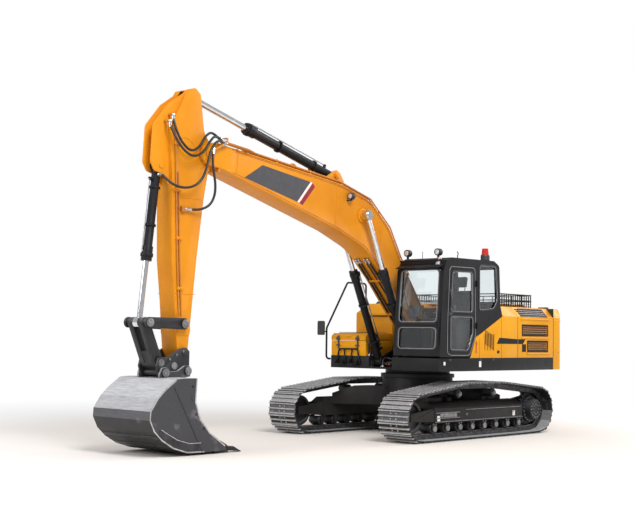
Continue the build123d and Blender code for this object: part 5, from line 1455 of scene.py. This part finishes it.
def addBucketTrim():
    bright, dark, seams, bolts = [], [], [], []
    for sign in (1, -1):
        y, reach = sign * (bucketTrim["side"] - 0.0005), sign * bucketTrim["thick"]
        bright.append(soften(addStrip("rim", bucketTrim["rim"], bucketTrim["rimInner"], y, reach * 0.5), 0.002, 2))
        bright.append(soften(addStrip("lip", bucketTrim["lip"], bucketTrim["lipInner"], y, reach * 0.4), 0.002, 2))
        dark.append(soften(addStrip("heelPlate", bucketTrim["heel"], bucketTrim["heelInner"], y, reach), 0.004, 2))
        bright.append(addTube("heelWeld", [at(x, y + reach * 0.5, z) for x, z in bucketTrim["heelInner"]], 0.006))
        seams.append(addTube("sideSeam", [at(x, sign * 0.6, z) for x, z in bucketTrim["seam"]], 0.0085, 3))
        for x, z in ((5.775, 0.93), (5.78, 0.76), (5.71, 0.55), (5.56, 0.36)):
            bolts.append(at(x, y, z))
    heads = [addBolts("edgeBolts", [spot for spot in bolts if spot.y * sign > 0], (0, sign, 0), 0.018, 0.012)
             for sign in (1, -1)]
    for (x, z), (x2, z2) in zip(bucketTrim["ribs"], bucketTrim["ribs"][1:]):
        run = Vector((x2 - x, 0, z2 - z)).normalized()
        out = Vector((run.z, 0, -run.x))
        corner = at(x, 0, z)
        spots = [corner + Vector((0, y, 0)) + run * 0.03 - out * 0.001 for y in (-0.575, 0.575)]
        spots += [spots[1] + run * 0.07, spots[0] + run * 0.07]
        dark.append(soften(addPanel("wearRib", spots, out * 0.006), 0.002, 2))
    for y in (0.14, -0.03):
        seams.append(addRound("drain", at(6.496, y, 0.4405), at(6.5005, y, 0.4385), 0.018, 20))
    fit("bucketRims", bright, "bucket", "grouserSteel")
    fit("bucketWearPieces", dark + heads, "bucket", "bucketDark")
    fit("bucketSeams", seams, "bucket", "sealRubber")
    print("bucket dressed")


couplerTrim = {
    "bolts": ((5.62, 1.4), (5.74, 1.35), (5.86, 1.29), (5.68, 1.1), (5.84, 1.1)), "side": 0.2005,
    "rod": ((5.7, 0, 1.19), (5.895, 0, 1.148)), "barrel": ((5.68, 0, 1.196), (5.82, 0, 1.166)), "lines": (0.07, -0.07),
}


def addCouplerTrim():
    # bolted bosses on the coupler's cheeks, and its lock's cylinder with two short lines
    pieces = []
    for sign in (1, -1):
        y = sign * couplerTrim["side"]
        pieces.append(addBolts("bolts", [at(x, y, z) for x, z in couplerTrim["bolts"]], (0, sign, 0), 0.02, 0.014))
        pieces.append(softRound("boss", (5.78, y, 1.2), (5.78, y + sign * 0.014, 1.2), 0.052, 30, 0.004, 2))
    pieces.append(softRound("lockRod", *couplerTrim["rod"], 0.018, 24, 0.003, 1))
    fit("couplerTrim", pieces, "bucket", "brightSteel")
    dark = [softRound("lockBarrel", *couplerTrim["barrel"], 0.03, 28, 0.006, 2)]
    for y in couplerTrim["lines"]:
        spots = ((5.7, y * 0.4, 1.195), (5.73, y, 1.205), (5.82, y * 1.2, 1.175), (5.88, y, 1.13))
        dark.append(tubeAt("lockLine", spots, 0.008, 3))
    fit("couplerLock", dark, "bucket", "hoseRubber")
    print("coupler dressed")


def addGuardMesh():
    # wire rows in the guards behind the roof
    wires = []
    for y in (-0.935, 0.935):
        for n in range(6):
            z = 2.245 + n * 0.034
            wires.append(tubeAt("wire", ((-2.155, y, z), (-1.135, y, z)), 0.004, 2, 1))
    fit("guardWires", wires, "hood", "railPaint")
    print("guards wired")


bpy.context.scene.view_settings.view_transform = "Standard"
addCamera()
addLights()
addFloor()
finishNodes()
print("stage set")
addHoses()
addHoseEnds()
softenNodes()
addTrackDetail()
addFrameTrim()
addBoomPanel()
addPinEnds()
addGlands()
addBoomTrim()
addLampParts()
addCabTrim()
addSeat()
addCabInside()
addHouseSide()
addWeightTrim()
addHoodTrim()
addTankTrim()
addFootLines()
addBucketTrim()
addCouplerTrim()
addGuardMesh()
